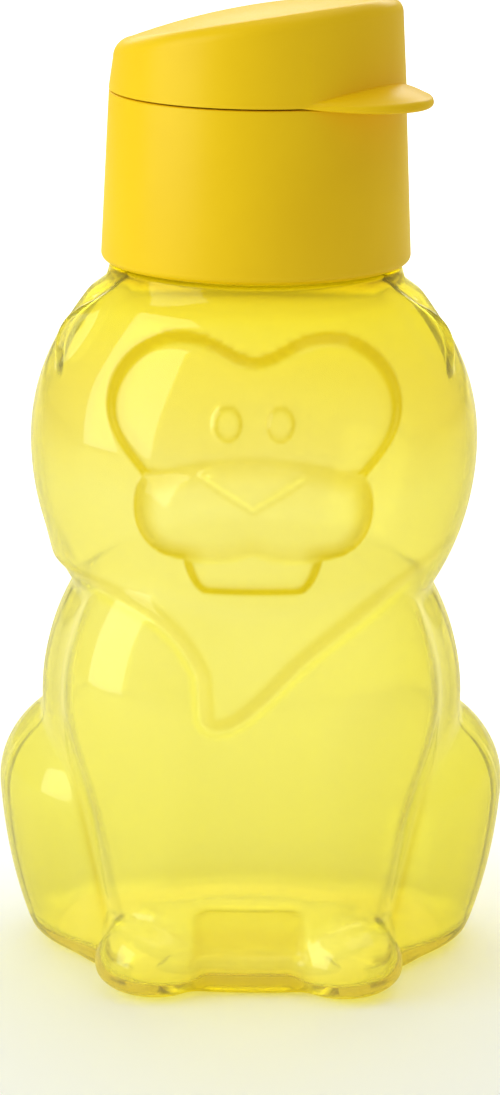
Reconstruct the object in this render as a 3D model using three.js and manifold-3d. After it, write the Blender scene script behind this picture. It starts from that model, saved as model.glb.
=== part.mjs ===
// Lion-shaped drinking bottle: a blow-moulded body, a screw cap with a spout and a flip lid.
// Millimetres, +Z up, the lion looks along -Y, origin at the middle of the base.
import * as THREE from 'three';
import { mergeVertices } from 'three/addons/utils/BufferGeometryUtils.js';
import Module from 'manifold-3d';

const wasm = await Module();
wasm.setup();

// General fits
const SEAT_GAP = 0.3;
const WALL = 1.5;

// Head with its mane
const HEAD_Z = 91;
const HEAD_HALF_WIDTH = 37.9;
const HEAD_HALF_DEPTH = 33;
const HEAD_RISE = 37;
const HEAD_DROP = 42.5;

// Torso
const TORSO_Z = 46;
const TORSO_HALF_WIDTH = 36.1;
const TORSO_HALF_DEPTH = 34.1;
const TORSO_SETBACK = 3;
const TORSO_RISE = 37.5;
const TORSO_DROP = 120;

// Haunches, one at each side
const HAUNCH_X = 20;
const HAUNCH_Y = 8;
const HAUNCH_Z = 27.4;
const HAUNCH_HALF_WIDTH = 23.9;
const HAUNCH_HALF_DEPTH = 26.5;
const HAUNCH_RISE = 18.8;
const HAUNCH_DROP = 47;
const HAUNCH_SPLAY = 0.07;

// Chest and forelegs, one panel that narrows down to the paws
const CHEST_HALF_WIDTH = 33;
const CHEST_Y = -8;
const CHEST_HALF_DEPTH = 23.1;
const CHEST_TAPER = 0.235;
const CHEST_TAPER_SOFTNESS = 8;
const CHEST_SQUARENESS = 3;

// Paws
const PAW_X = 16.8;
const PAW_Y = -25;
const PAW_Z = 5.5;
const PAW_HALF_WIDTH = 9.2;
const PAW_HALF_DEPTH = 9.6;
const PAW_HALF_HEIGHT = 7.6;

// Ears at the upper corners of the head
const EAR_X = 24.6;
const EAR_Y = -10.5;
const EAR_Z = 107.8;
const EAR_HALF_WIDTH = 8.8;
const EAR_HALF_DEPTH = 3.4;
const EAR_HALF_HEIGHT = 8.8;

// Base
const BASE_EDGE_RADIUS = 4;
const BASE_PUSH_UP = 1.2;
const BASE_RIM_SHARE = 0.78;
const BASE_PANEL_SHARE = 0.68;

// Blend radii where the forms meet
const WAIST_BLEND = 1;
const CREASE_BLEND = 1.4;
const PAW_BLEND = 2;
const EAR_BLEND = 1.1;
const SHOULDER_BLEND = 3;

// Heights of the face and chest relief over the skin
const HEART_HEIGHT = 1.6;
const MUZZLE_EDGE_HEIGHT = 1.7;
const MUZZLE_CROWN = 1.9;
const NOSE_HEIGHT = 0.7;
const CHIN_HEIGHT = 1.6;
const EYE_HEIGHT = 1.1;
const TUFT_HEIGHT = 1.5;
const ARCH_DEPTH = 2;

// Places of the relief, in the front view
const HEART_HALF_WIDTH = 24.2;
const HEART_LOBE_X = 11.5;
const HEART_TOP_Z = 115.1;
const HEART_DIP_Z = 111.2;
const HEART_SIDE_Z = 101.5;
const HEART_ROUND = 6.5;
const HEART_FOOT_X = 18.3;
const HEART_FOOT_Z = 90;
const EYE_X = 4.45;
const EYE_Z = 100.3;
const EYE_HALF_WIDTH = 1.9;
const EYE_HALF_HEIGHT = 2.6;
const MUZZLE_HALF_WIDTH = 20;
const MUZZLE_Z = 85.5;
const MUZZLE_TOP_Z = 94.2;
const MUZZLE_CORNER_X = 16.4;
const MUZZLE_CORNER_DROP = 2;
const MUZZLE_ROUND = 4;
const MUZZLE_LOBE_X = 11.4;
const MUZZLE_BOTTOM_Z = 77;
const MUZZLE_DIP = 2.6;
const NOSE_HALF_WIDTH = 9.3;
const NOSE_TOP_Z = 92.2;
const NOSE_DEPTH = 5.6;
const CHIN_HALF_WIDTH = 11.7;
const CHIN_FOOT_X = 7.6;
const CHIN_BOTTOM_Z = 71.4;
const TUFT_SIDE_Z = 69;
const TUFT_SIDE_STEP = 8;
const TUFT_KNEE_X = -9.2;
const TUFT_KNEE_Z = 56.6;
const TUFT_KNEE_ROUND = 8;
const TUFT_TIP_X = -5.3;
const TUFT_TIP_Z = 47.3;
const TUFT_TIP_ROUND = 3.4;
const TUFT_SWEEP_X = 8;
const TUFT_SWEEP_Z = 57.7;
const TUFT_SWEEP_ROUND = 5;
const TUFT_FADE = 12;
const ARCH_HALF_WIDTH = 10.2;
const ARCH_TOP_Z = 16.3;
const ARCH_BOTTOM_Z = 6.5;
const ARCH_CORNER = 3.5;
const RELIEF_MARGIN = 1;

// Neck
const NECK_RADIUS = 22.4;
const NECK_WALL = 2;
const NECK_TOP_Z = 140;
const NECK_LIP = 0.6;
const SHOULDER_RADIUS = 30;
const SHOULDER_Z = 104;
const SHOULDER_RISE = 28;
const SHOULDER_TOP_Z = 118.4;
const BEAD_RADIUS = 24.8;
const BEAD_TOP_Z = 121.2;

// Screw cap
const CAP_TURN = -35;
const THREAD_ROOM = 1.2;
const CAP_FOOT_GAP = 0.6;
const CAP_FOOT_RADIUS = 26.2;
const CAP_FOOT_EDGE = 1.2;
const CAP_SEAM_RADIUS = 25;
const CAP_SEAM_Z = 150.5;
const CAP_RIM_WALL = 1.7;
const DECK_THICKNESS = 2;

// Neck gasket
const GASKET_THICKNESS = 1.6;

// Drinking spout on the cap
const SPOUT_X = 7;
const SPOUT_BORE = 5.2;
const SPOUT_TIP_RADIUS = 7;
const SPOUT_FOOT_RADIUS = 8.6;
const SPOUT_TOP_Z = 157;

// Flip lid
const LID_WALL = 1.7;
const LID_MID_HEIGHT = 12;
const LID_SLOPE = 0.197;
const LID_CROWN = 2.2;
const LID_TAPER = 0.7;
const LID_EDGE = 3;

// Thumb tab on the lid
const TAB_HALF_ANGLE = 38;
const TAB_REACH = 7.6;
const TAB_THICKNESS = 1.5;
const TAB_ROOT_HEIGHT = 1.7;
const TAB_DROP = 1;

// Spout seal in the lid
const SEAL_RADIUS = 6.6;
const SEAL_THICKNESS = 1.6;
const SEAL_PLUG_DEPTH = 2.4;
const SEAL_PLUG_ROOM = 0.7;
const SEAL_PLUG_TAPER = 0.4;
const SEAL_STEM_RADIUS = 2.4;
const SEAL_STEM_HEIGHT = 1.8;
const BOSS_RADIUS = 5.4;

// Hinge at the back of the cap
const PIN_RADIUS = 0.8;
const PIN_CLEARANCE = 0.25;
const KNUCKLE_RADIUS = 1.8;
const HINGE_OFFSET = 0.9;
const POCKET_ROOM = 0.35;
const KNUCKLE_WIDTH = 3.4;
const EAR_LUG_WIDTH = 2;
const KNUCKLE_SIDE_GAP = 0.3;
const LUG_DROP = 6;

// Facets
const SKIN_SEGMENTS = 60;
const SKIN_STEP = 3.4;
const CAVITY_SEGMENTS = 32;
const CAVITY_STEP = 6;
const ROUND_SEGMENTS = 56;
const SMALL_SEGMENTS = 24;

// Sizes that follow from the ones above
const seamGapZ = CAP_SEAM_Z + SEAT_GAP;
const capBore = NECK_RADIUS + THREAD_ROOM;
const capFootZ = BEAD_TOP_Z + CAP_FOOT_GAP;
const gasketZ = NECK_TOP_Z + SEAT_GAP;
const deckZ = gasketZ + GASKET_THICKNESS + SEAT_GAP;
const deckTopZ = deckZ + DECK_THICKNESS;
const hingeX = -(CAP_SEAM_RADIUS + HINGE_OFFSET);
const hingeZ = CAP_SEAM_Z + SEAT_GAP / 2;
const lugY = KNUCKLE_WIDTH / 2 + KNUCKLE_SIDE_GAP + EAR_LUG_WIDTH / 2;
const pocketRadius = KNUCKLE_RADIUS + POCKET_ROOM;
const sealZ = SPOUT_TOP_Z + SEAT_GAP;
const sealTopZ = sealZ + SEAL_THICKNESS;

// Geometry helpers

function signedVolume(geometry) {
  const position = geometry.getAttribute('position');
  const index = geometry.getIndex();
  const corners = [new THREE.Vector3(), new THREE.Vector3(), new THREE.Vector3()];
  let total = 0;
  for (let i = 0; i < index.count; i += 3) {
    corners.forEach((corner, k) => corner.fromBufferAttribute(position, index.getX(i + k)));
    total += corners[0].dot(corners[1].clone().cross(corners[2])) / 6;
  }
  return total;
}

// A solid for joining and cutting: shared vertices, no collapsed triangles, faces outward.
function solid(geometry) {
  const bare = geometry.clone();
  bare.deleteAttribute('normal');
  bare.deleteAttribute('uv');
  const merged = mergeVertices(bare, 1e-4);
  const flip = signedVolume(merged) < 0;
  const index = merged.getIndex();
  const triVerts = [];
  for (let i = 0; i < index.count; i += 3) {
    const [a, b, c] = [index.getX(i), index.getX(i + 1), index.getX(i + 2)];
    if (a === b || b === c || c === a) continue;
    triVerts.push(a, ...(flip ? [c, b] : [b, c]));
  }
  const vertProperties = new Float32Array(merged.getAttribute('position').array);
  return new wasm.Manifold(new wasm.Mesh({ numProp: 3, vertProperties, triVerts: new Uint32Array(triVerts) }));
}

function geometryOf(body) {
  const mesh = body.getMesh();
  const geometry = new THREE.BufferGeometry();
  geometry.setAttribute('position', new THREE.BufferAttribute(new Float32Array(mesh.vertProperties), 3));
  geometry.setIndex(new THREE.BufferAttribute(new Uint32Array(mesh.triVerts), 1));
  geometry.computeVertexNormals();
  return geometry;
}

// A closed skin over rings of equal count, each end filled to its middle point.
function loft(rings) {
  const count = rings[0].length;
  const points = rings.flat();
  const indices = [];
  for (let row = 0; row + 1 < rings.length; row += 1) {
    for (let k = 0; k < count; k += 1) {
      const a = row * count + k;
      const b = row * count + (k + 1) % count;
      indices.push(a, b, a + count, b, b + count, a + count);
    }
  }
  const fill = (ring, first, outward) => {
    const middle = new THREE.Vector3();
    ring.forEach((point) => middle.addScaledVector(point, 1 / count));
    points.push(middle);
    for (let k = 0; k < count; k += 1) {
      const edge = [first + k, first + (k + 1) % count];
      indices.push(points.length - 1, ...(outward ? edge : edge.reverse()));
    }
  };
  fill(rings[0], 0, false);
  fill(rings[rings.length - 1], count * (rings.length - 1), true);
  const geometry = new THREE.BufferGeometry().setFromPoints(points);
  geometry.setIndex(indices);
  return geometry;
}

function revolve(profile, segments) {
  const points = profile.map(([radius, z]) => new THREE.Vector2(radius, z));
  return new THREE.LatheGeometry(points, segments).rotateX(Math.PI / 2);
}

// A plain or tapered round bar standing on z = low.
function bar(lowRadius, highRadius, low, high, segments) {
  const geometry = new THREE.CylinderGeometry(highRadius, lowRadius, high - low, segments);
  return geometry.rotateX(Math.PI / 2).translate(0, 0, (low + high) / 2);
}

// A round bar along Y.
function crossBar(radius, length, x, z, segments) {
  return new THREE.CylinderGeometry(radius, radius, length, segments).translate(x, 0, z);
}

// An outline drawn in the front view (x, z), pushed from y = back to y = front.
function frontExtrude(shape, front, back, curveSegments) {
  const geometry = new THREE.ExtrudeGeometry(shape, { depth: back - front, bevelEnabled: false, curveSegments });
  return geometry.rotateX(Math.PI / 2).translate(0, back, 0);
}

function arcPoints(cx, cz, radius, fromDegrees, toDegrees, steps) {
  return Array.from({ length: steps + 1 }, (_, i) => {
    const angle = THREE.MathUtils.degToRad(fromDegrees + (toDegrees - fromDegrees) * i / steps);
    return [cx + radius * Math.cos(angle), cz + radius * Math.sin(angle)];
  });
}

// The body's form: ellipsoids joined by smooth blends, negative inside

function ellipsoid(x, y, z, halfX, halfY, halfZ) {
  const scaled = Math.hypot(x / halfX, y / halfY, z / halfZ);
  const slope = Math.hypot(x / halfX ** 2, y / halfY ** 2, z / halfZ ** 2);
  return slope > 0 ? scaled * (scaled - 1) / slope : -Math.min(halfX, halfY, halfZ);
}

function join(a, b, blend) {
  const nearness = Math.max(blend - Math.abs(a - b), 0) / blend;
  return Math.min(a, b) - nearness * nearness * blend / 4;
}

// The chest panel: a rounded rectangle in plan, narrower below, with the torso's rise and drop.
function chestPanel(x, y, z) {
  const depth = TORSO_Z - z;
  const narrowing = CHEST_TAPER * (depth + Math.hypot(depth, CHEST_TAPER_SOFTNESS)) / 2;
  const acrossShare = Math.abs(x) / (CHEST_HALF_WIDTH - narrowing);
  const backShare = Math.abs(y - CHEST_Y) / CHEST_HALF_DEPTH;
  const plan = (acrossShare ** CHEST_SQUARENESS + backShare ** CHEST_SQUARENESS) ** (1 / CHEST_SQUARENESS);
  const scaled = Math.hypot(plan, depth / (depth < 0 ? TORSO_RISE : TORSO_DROP));
  return (scaled - 1) * CHEST_HALF_DEPTH;
}

function bodyForm(x, y, z) {
  const side = Math.abs(x);
  const haunchX = side - HAUNCH_X - HAUNCH_SPLAY * (z - HAUNCH_Z);
  const head = ellipsoid(x, y, z - HEAD_Z, HEAD_HALF_WIDTH, HEAD_HALF_DEPTH, z > HEAD_Z ? HEAD_RISE : HEAD_DROP);
  const torso = ellipsoid(
    x, y - TORSO_SETBACK, z - TORSO_Z,
    TORSO_HALF_WIDTH, TORSO_HALF_DEPTH, z > TORSO_Z ? TORSO_RISE : TORSO_DROP,
  );
  const haunch = ellipsoid(
    haunchX, y - HAUNCH_Y, z - HAUNCH_Z,
    HAUNCH_HALF_WIDTH, HAUNCH_HALF_DEPTH, z > HAUNCH_Z ? HAUNCH_RISE : HAUNCH_DROP,
  );
  const paw = ellipsoid(side - PAW_X, y - PAW_Y, z - PAW_Z, PAW_HALF_WIDTH, PAW_HALF_DEPTH, PAW_HALF_HEIGHT);
  const ear = ellipsoid(side - EAR_X, y - EAR_Y, z - EAR_Z, EAR_HALF_WIDTH, EAR_HALF_DEPTH, EAR_HALF_HEIGHT);
  const shoulder = ellipsoid(x, y, z - SHOULDER_Z, SHOULDER_RADIUS, SHOULDER_RADIUS, SHOULDER_RISE);
  const top = join(head, shoulder, SHOULDER_BLEND);
  const trunk = join(join(top, torso, WAIST_BLEND), chestPanel(x, y, z), CREASE_BLEND);
  const withHaunches = join(trunk, haunch, CREASE_BLEND);
  const withPaws = join(withHaunches, paw, PAW_BLEND);
  return join(withPaws, ear, EAR_BLEND);
}

// Distance from the bottle's axis to the skin, with the base edge rounded off.
function skinRadius(angle, z) {
  let inside = 0;
  let outside = 2 * HAUNCH_HALF_WIDTH + HAUNCH_X;
  for (let step = 0; step < 24; step += 1) {
    const middle = (inside + outside) / 2;
    if (bodyForm(middle * Math.cos(angle), middle * Math.sin(angle), z) < 0) inside = middle;
    else outside = middle;
  }
  const low = Math.max(BASE_EDGE_RADIUS - z, 0);
  return inside - BASE_EDGE_RADIUS + Math.sqrt(BASE_EDGE_RADIUS ** 2 - low ** 2);
}

function ring(z, segments, radiusAt) {
  return Array.from({ length: segments }, (_, k) => {
    const angle = 2 * Math.PI * k / segments - Math.PI / 2;
    const radius = radiusAt(angle);
    return new THREE.Vector3(radius * Math.cos(angle), radius * Math.sin(angle), z);
  });
}

// Heights of the rings between two levels, at most one step apart.
function levels(low, high, step) {
  const count = Math.ceil((high - low) / step);
  return Array.from({ length: count + 1 }, (_, i) => low + (high - low) * i / count);
}

// The skin between two levels, raised by height(x, z) on the lion's front.
function raisedSkin(low, high, height) {
  const rings = levels(low, high, SKIN_STEP).map((z) => ring(z, SKIN_SEGMENTS, (angle) => {
    const radius = skinRadius(angle, z);
    return radius + height(radius * Math.cos(angle), z);
  }));
  return solid(loft(rings));
}

function outerBody() {
  const baseRing = (share, z) => ring(z, SKIN_SEGMENTS, (angle) => share * skinRadius(angle, 0));
  const skinRing = (z) => ring(z, SKIN_SEGMENTS, (angle) => skinRadius(angle, z));
  const roundRing = (radius, z) => ring(z, SKIN_SEGMENTS, () => radius);
  const edgeLevels = [0, 0.15, 0.5].map((share) => share * BASE_EDGE_RADIUS);
  const rings = [
    baseRing(BASE_PANEL_SHARE, BASE_PUSH_UP),
    baseRing(BASE_RIM_SHARE, 0),
    ...edgeLevels.map(skinRing),
    ...levels(BASE_EDGE_RADIUS, SHOULDER_TOP_Z, SKIN_STEP).map(skinRing),
    roundRing(BEAD_RADIUS, SHOULDER_TOP_Z),
    roundRing(BEAD_RADIUS, BEAD_TOP_Z - NECK_LIP),
    roundRing(BEAD_RADIUS - NECK_LIP, BEAD_TOP_Z),
    roundRing(NECK_RADIUS, BEAD_TOP_Z),
    roundRing(NECK_RADIUS, NECK_TOP_Z - NECK_LIP),
    roundRing(NECK_RADIUS - NECK_LIP, NECK_TOP_Z),
  ];
  return solid(loft(rings));
}

// How far the cavity stands back behind the arch between the paws, from 0 to 1.
function archShare(x, z) {
  const across = THREE.MathUtils.smoothstep(Math.abs(x), ARCH_HALF_WIDTH, ARCH_HALF_WIDTH * 1.8);
  const up = THREE.MathUtils.smoothstep(z, ARCH_TOP_Z, ARCH_TOP_Z * 1.8);
  return (1 - across) * (1 - up);
}

function cavity() {
  const neckBore = NECK_RADIUS - NECK_WALL;
  const floorZ = BASE_PUSH_UP + WALL;
  const insideRadius = (angle, z) => {
    const radius = skinRadius(angle, z) - WALL;
    const front = Math.sin(angle) < 0 ? ARCH_DEPTH * archShare(radius * Math.cos(angle), z) : 0;
    return radius - front;
  };
  const skinRing = (z) => ring(z, CAVITY_SEGMENTS, (angle) => insideRadius(angle, z));
  const floorRing = ring(floorZ, CAVITY_SEGMENTS, (angle) => insideRadius(angle, floorZ) - WALL);
  const roofZ = SHOULDER_TOP_Z - WALL;
  const rings = [
    floorRing,
    ...levels(floorZ + WALL, roofZ - WALL, CAVITY_STEP).map(skinRing),
    ring(roofZ, CAVITY_SEGMENTS, () => neckBore),
    ring(NECK_TOP_Z + WALL, CAVITY_SEGMENTS, () => neckBore),
  ];
  return solid(loft(rings));
}

// Outlines of the relief in the front view. Each half is drawn to the right and repeated mirrored.

function heartOutline() {
  const shape = new THREE.Shape();
  const side = (sign) => ({
    lobe: [sign * HEART_LOBE_X, HEART_TOP_Z],
    wide: [sign * HEART_HALF_WIDTH, HEART_SIDE_Z],
    foot: [sign * HEART_FOOT_X, HEART_FOOT_Z],
    dipPull: [sign * HEART_LOBE_X * 0.3, HEART_DIP_Z],
    lobePull: [sign * HEART_LOBE_X * 0.5, HEART_TOP_Z],
    lobeOutPull: [sign * HEART_LOBE_X * 1.6, HEART_TOP_Z],
    widePull: [sign * HEART_HALF_WIDTH, HEART_SIDE_Z + HEART_ROUND],
    wideLowPull: [sign * HEART_HALF_WIDTH, HEART_SIDE_Z - HEART_ROUND * 0.8],
    footPull: [sign * (HEART_FOOT_X + HEART_ROUND * 0.4), HEART_FOOT_Z + HEART_ROUND * 0.5],
  });
  const right = side(1);
  const left = side(-1);
  shape.moveTo(0, HEART_DIP_Z);
  shape.bezierCurveTo(...right.dipPull, ...right.lobePull, ...right.lobe);
  shape.bezierCurveTo(...right.lobeOutPull, ...right.widePull, ...right.wide);
  shape.bezierCurveTo(...right.wideLowPull, ...right.footPull, ...right.foot);
  shape.lineTo(...left.foot);
  shape.bezierCurveTo(...left.footPull, ...left.wideLowPull, ...left.wide);
  shape.bezierCurveTo(...left.widePull, ...left.lobeOutPull, ...left.lobe);
  shape.bezierCurveTo(...left.lobePull, ...left.dipPull, 0, HEART_DIP_Z);
  return shape;
}

function muzzleOutline() {
  const shape = new THREE.Shape();
  const dipZ = MUZZLE_BOTTOM_Z + MUZZLE_DIP;
  const side = (sign) => ({
    lobe: [sign * MUZZLE_LOBE_X, MUZZLE_BOTTOM_Z],
    wide: [sign * MUZZLE_HALF_WIDTH, MUZZLE_Z],
    corner: [sign * MUZZLE_CORNER_X, MUZZLE_TOP_Z - MUZZLE_CORNER_DROP],
    dipPull: [sign * MUZZLE_LOBE_X * 0.3, MUZZLE_BOTTOM_Z],
    lobePull: [sign * MUZZLE_LOBE_X * 0.6, MUZZLE_BOTTOM_Z],
    lobeOutPull: [sign * MUZZLE_HALF_WIDTH * 0.9, MUZZLE_BOTTOM_Z],
    wideLowPull: [sign * MUZZLE_HALF_WIDTH, MUZZLE_Z - MUZZLE_ROUND],
    widePull: [sign * MUZZLE_HALF_WIDTH, MUZZLE_Z + MUZZLE_ROUND],
    cornerPull: [sign * (MUZZLE_CORNER_X + MUZZLE_ROUND / 2), MUZZLE_TOP_Z - MUZZLE_CORNER_DROP],
    topPull: [sign * MUZZLE_CORNER_X / 2, MUZZLE_TOP_Z],
  });
  const right = side(1);
  const left = side(-1);
  shape.moveTo(0, dipZ);
  shape.bezierCurveTo(...right.dipPull, ...right.lobePull, ...right.lobe);
  shape.bezierCurveTo(...right.lobeOutPull, ...right.wideLowPull, ...right.wide);
  shape.bezierCurveTo(...right.widePull, ...right.cornerPull, ...right.corner);
  shape.quadraticCurveTo(...right.topPull, 0, MUZZLE_TOP_Z);
  shape.quadraticCurveTo(...left.topPull, ...left.corner);
  shape.bezierCurveTo(...left.cornerPull, ...left.widePull, ...left.wide);
  shape.bezierCurveTo(...left.wideLowPull, ...left.lobeOutPull, ...left.lobe);
  shape.bezierCurveTo(...left.lobePull, ...left.dipPull, 0, dipZ);
  return shape;
}

function noseOutline() {
  const shape = new THREE.Shape();
  shape.moveTo(-NOSE_HALF_WIDTH, NOSE_TOP_Z);
  shape.lineTo(0, NOSE_TOP_Z - NOSE_DEPTH);
  shape.lineTo(NOSE_HALF_WIDTH, NOSE_TOP_Z);
  return shape;
}

function chinOutline() {
  const cornerX = (CHIN_HALF_WIDTH + CHIN_FOOT_X) / 2;
  const shape = new THREE.Shape();
  shape.moveTo(-CHIN_HALF_WIDTH, MUZZLE_Z);
  shape.lineTo(-CHIN_HALF_WIDTH, MUZZLE_BOTTOM_Z);
  shape.quadraticCurveTo(-cornerX, CHIN_BOTTOM_Z, -CHIN_FOOT_X, CHIN_BOTTOM_Z);
  shape.lineTo(CHIN_FOOT_X, CHIN_BOTTOM_Z);
  shape.quadraticCurveTo(cornerX, CHIN_BOTTOM_Z, CHIN_HALF_WIDTH, MUZZLE_BOTTOM_Z);
  shape.lineTo(CHIN_HALF_WIDTH, MUZZLE_Z);
  return shape;
}

function eyeOutline(x) {
  return new THREE.Shape().absellipse(x, EYE_Z, EYE_HALF_WIDTH, EYE_HALF_HEIGHT, 0, 2 * Math.PI);
}

// The mane ends on the chest in one tuft, swept to the lion's right.
function tuftOutline() {
  const tipSideX = TUFT_TIP_X - TUFT_TIP_ROUND;
  const farZ = TUFT_SIDE_Z + TUFT_SIDE_STEP;
  const shape = new THREE.Shape();
  shape.moveTo(-HEAD_HALF_WIDTH, HEAD_Z);
  shape.lineTo(-HEAD_HALF_WIDTH, TUFT_SIDE_Z);
  shape.bezierCurveTo(
    -HEAD_HALF_WIDTH / 2, TUFT_SIDE_Z,
    TUFT_KNEE_X - TUFT_KNEE_ROUND / 2, TUFT_KNEE_Z + TUFT_KNEE_ROUND,
    TUFT_KNEE_X, TUFT_KNEE_Z,
  );
  shape.lineTo(tipSideX, TUFT_TIP_Z + TUFT_TIP_ROUND);
  shape.quadraticCurveTo(tipSideX, TUFT_TIP_Z, TUFT_TIP_X, TUFT_TIP_Z);
  shape.bezierCurveTo(
    TUFT_TIP_X + TUFT_TIP_ROUND, TUFT_TIP_Z,
    TUFT_SWEEP_X - TUFT_SWEEP_ROUND, TUFT_SWEEP_Z - TUFT_SWEEP_ROUND,
    TUFT_SWEEP_X, TUFT_SWEEP_Z,
  );
  shape.bezierCurveTo(
    TUFT_SWEEP_X + TUFT_SWEEP_ROUND * 1.6, TUFT_SWEEP_Z + TUFT_SWEEP_ROUND * 1.4,
    HEAD_HALF_WIDTH * 0.7, farZ - TUFT_SIDE_STEP * 0.8,
    HEAD_HALF_WIDTH, farZ,
  );
  shape.lineTo(HEAD_HALF_WIDTH, HEAD_Z);
  return shape;
}

function archOutline() {
  const turnX = ARCH_HALF_WIDTH - ARCH_CORNER;
  const turnZ = ARCH_TOP_Z - ARCH_CORNER;
  const shape = new THREE.Shape();
  shape.moveTo(-ARCH_HALF_WIDTH, ARCH_BOTTOM_Z);
  shape.lineTo(ARCH_HALF_WIDTH, ARCH_BOTTOM_Z);
  shape.lineTo(ARCH_HALF_WIDTH, turnZ);
  shape.absarc(turnX, turnZ, ARCH_CORNER, 0, Math.PI / 2);
  shape.absarc(-turnX, turnZ, ARCH_CORNER, Math.PI / 2, Math.PI);
  return shape;
}

// A raised form: its outline pushed through the front of the head or chest, ended by a raised skin.
function relief(outline, low, high, height) {
  const front = -2 * HEAD_HALF_DEPTH;
  const through = solid(frontExtrude(outline, front, -HEAD_HALF_DEPTH / 3, 6));
  return raisedSkin(low, high, height).intersect(through);
}

function muzzleHeight(x, z) {
  const halfHeight = (MUZZLE_TOP_Z - MUZZLE_BOTTOM_Z) / 2;
  const middle = (MUZZLE_TOP_Z + MUZZLE_BOTTOM_Z) / 2;
  const edge = Math.min((x / MUZZLE_HALF_WIDTH) ** 2 + ((z - middle) / halfHeight) ** 2, 1);
  return MUZZLE_EDGE_HEIGHT + MUZZLE_CROWN * (1 - edge);
}

function bottleBody() {
  const fadeLow = TUFT_SIDE_Z - TUFT_FADE / 3;
  const fade = (z) => 1 - THREE.MathUtils.smoothstep(z, fadeLow, fadeLow + TUFT_FADE);
  const faceTop = HEART_TOP_Z + RELIEF_MARGIN;
  const chinLow = CHIN_BOTTOM_Z - RELIEF_MARGIN;
  const tuftLow = TUFT_TIP_Z - RELIEF_MARGIN;
  const raised = [
    relief(heartOutline(), MUZZLE_BOTTOM_Z, faceTop, () => HEART_HEIGHT),
    relief(eyeOutline(-EYE_X), MUZZLE_Z, faceTop, () => HEART_HEIGHT + EYE_HEIGHT),
    relief(eyeOutline(EYE_X), MUZZLE_Z, faceTop, () => HEART_HEIGHT + EYE_HEIGHT),
    relief(muzzleOutline(), chinLow, faceTop, muzzleHeight),
    relief(noseOutline(), chinLow, faceTop, (x, z) => muzzleHeight(x, z) + NOSE_HEIGHT),
    relief(chinOutline(), chinLow, faceTop, () => CHIN_HEIGHT),
    relief(tuftOutline(), tuftLow, fadeLow + TUFT_FADE, (x, z) => TUFT_HEIGHT * fade(z)),
  ];
  const archThrough = solid(frontExtrude(archOutline(), -2 * HEAD_HALF_DEPTH, CHEST_Y, 6));
  const archBack = raisedSkin(0, 2 * ARCH_TOP_Z, () => -ARCH_DEPTH);
  let body = outerBody();
  raised.forEach((form) => {
    body = body.add(form);
  });
  return body.subtract(archThrough.subtract(archBack)).subtract(cavity());
}

function neckGasket() {
  const inner = NECK_RADIUS - NECK_WALL + SEAT_GAP;
  const outer = NECK_RADIUS;
  const top = gasketZ + GASKET_THICKNESS;
  return solid(revolve([[inner, gasketZ], [outer, gasketZ], [outer, top], [inner, top], [inner, gasketZ]], ROUND_SEGMENTS));
}

function capBase() {
  const rim = CAP_SEAM_RADIUS - CAP_RIM_WALL;
  const foot = arcPoints(CAP_FOOT_RADIUS - CAP_FOOT_EDGE, capFootZ + CAP_FOOT_EDGE, CAP_FOOT_EDGE, -90, 0, 4);
  const cup = solid(revolve([
    [0, deckZ],
    [capBore, deckZ],
    [capBore, capFootZ],
    ...foot,
    [CAP_SEAM_RADIUS, CAP_SEAM_Z],
    [rim, CAP_SEAM_Z],
    [rim, deckTopZ],
    [0, deckTopZ],
  ], ROUND_SEGMENTS));
  const spout = bar(SPOUT_FOOT_RADIUS, SPOUT_TIP_RADIUS, deckZ, SPOUT_TOP_Z, ROUND_SEGMENTS / 2);
  const bore = bar(SPOUT_BORE, SPOUT_BORE, deckZ - WALL, SPOUT_TOP_Z + WALL, ROUND_SEGMENTS / 2);
  const pinBore = crossBar(PIN_RADIUS + PIN_CLEARANCE, 2 * CAP_SEAM_RADIUS, hingeX, hingeZ, SMALL_SEGMENTS);
  const knucklePocket = crossBar(pocketRadius, KNUCKLE_WIDTH + 2 * KNUCKLE_SIDE_GAP, hingeX, hingeZ, SMALL_SEGMENTS);
  let cap = cup.add(solid(spout.translate(SPOUT_X, 0, 0))).subtract(solid(knucklePocket));
  [-lugY, lugY].forEach((y) => {
    const wallX = -(CAP_SEAM_RADIUS - CAP_RIM_WALL * 0.9);
    cap = cap.add(solid(capLug(wallX, y)));
  });
  return cap.subtract(solid(bore.translate(SPOUT_X, 0, 0))).subtract(solid(pinBore));
}

// The cap's lug: a round end about the pin, on a web that runs down the skirt.
function capLug(wallX, middleY) {
  const shape = new THREE.Shape();
  shape.moveTo(wallX, CAP_SEAM_Z - SEAT_GAP);
  shape.lineTo(wallX, CAP_SEAM_Z - LUG_DROP);
  shape.lineTo(hingeX - KNUCKLE_RADIUS, hingeZ);
  shape.absarc(hingeX, hingeZ, KNUCKLE_RADIUS, Math.PI, 0, true);
  shape.lineTo(hingeX + KNUCKLE_RADIUS, CAP_SEAM_Z - SEAT_GAP);
  return frontExtrude(shape, middleY - EAR_LUG_WIDTH / 2, middleY + EAR_LUG_WIDTH / 2, 10);
}

// The lid's knuckle: a barrel about the pin, on an arm from the lid's wall.
function lidKnuckle(wallX) {
  const armTop = hingeZ + KNUCKLE_RADIUS;
  const shape = new THREE.Shape();
  shape.moveTo(wallX, armTop);
  shape.lineTo(hingeX, armTop);
  shape.absarc(hingeX, hingeZ, KNUCKLE_RADIUS, Math.PI / 2, 2 * Math.PI, false);
  shape.lineTo(hingeX + KNUCKLE_RADIUS, seamGapZ);
  shape.lineTo(wallX, seamGapZ);
  return frontExtrude(shape, -KNUCKLE_WIDTH / 2, KNUCKLE_WIDTH / 2, 10);
}

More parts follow.
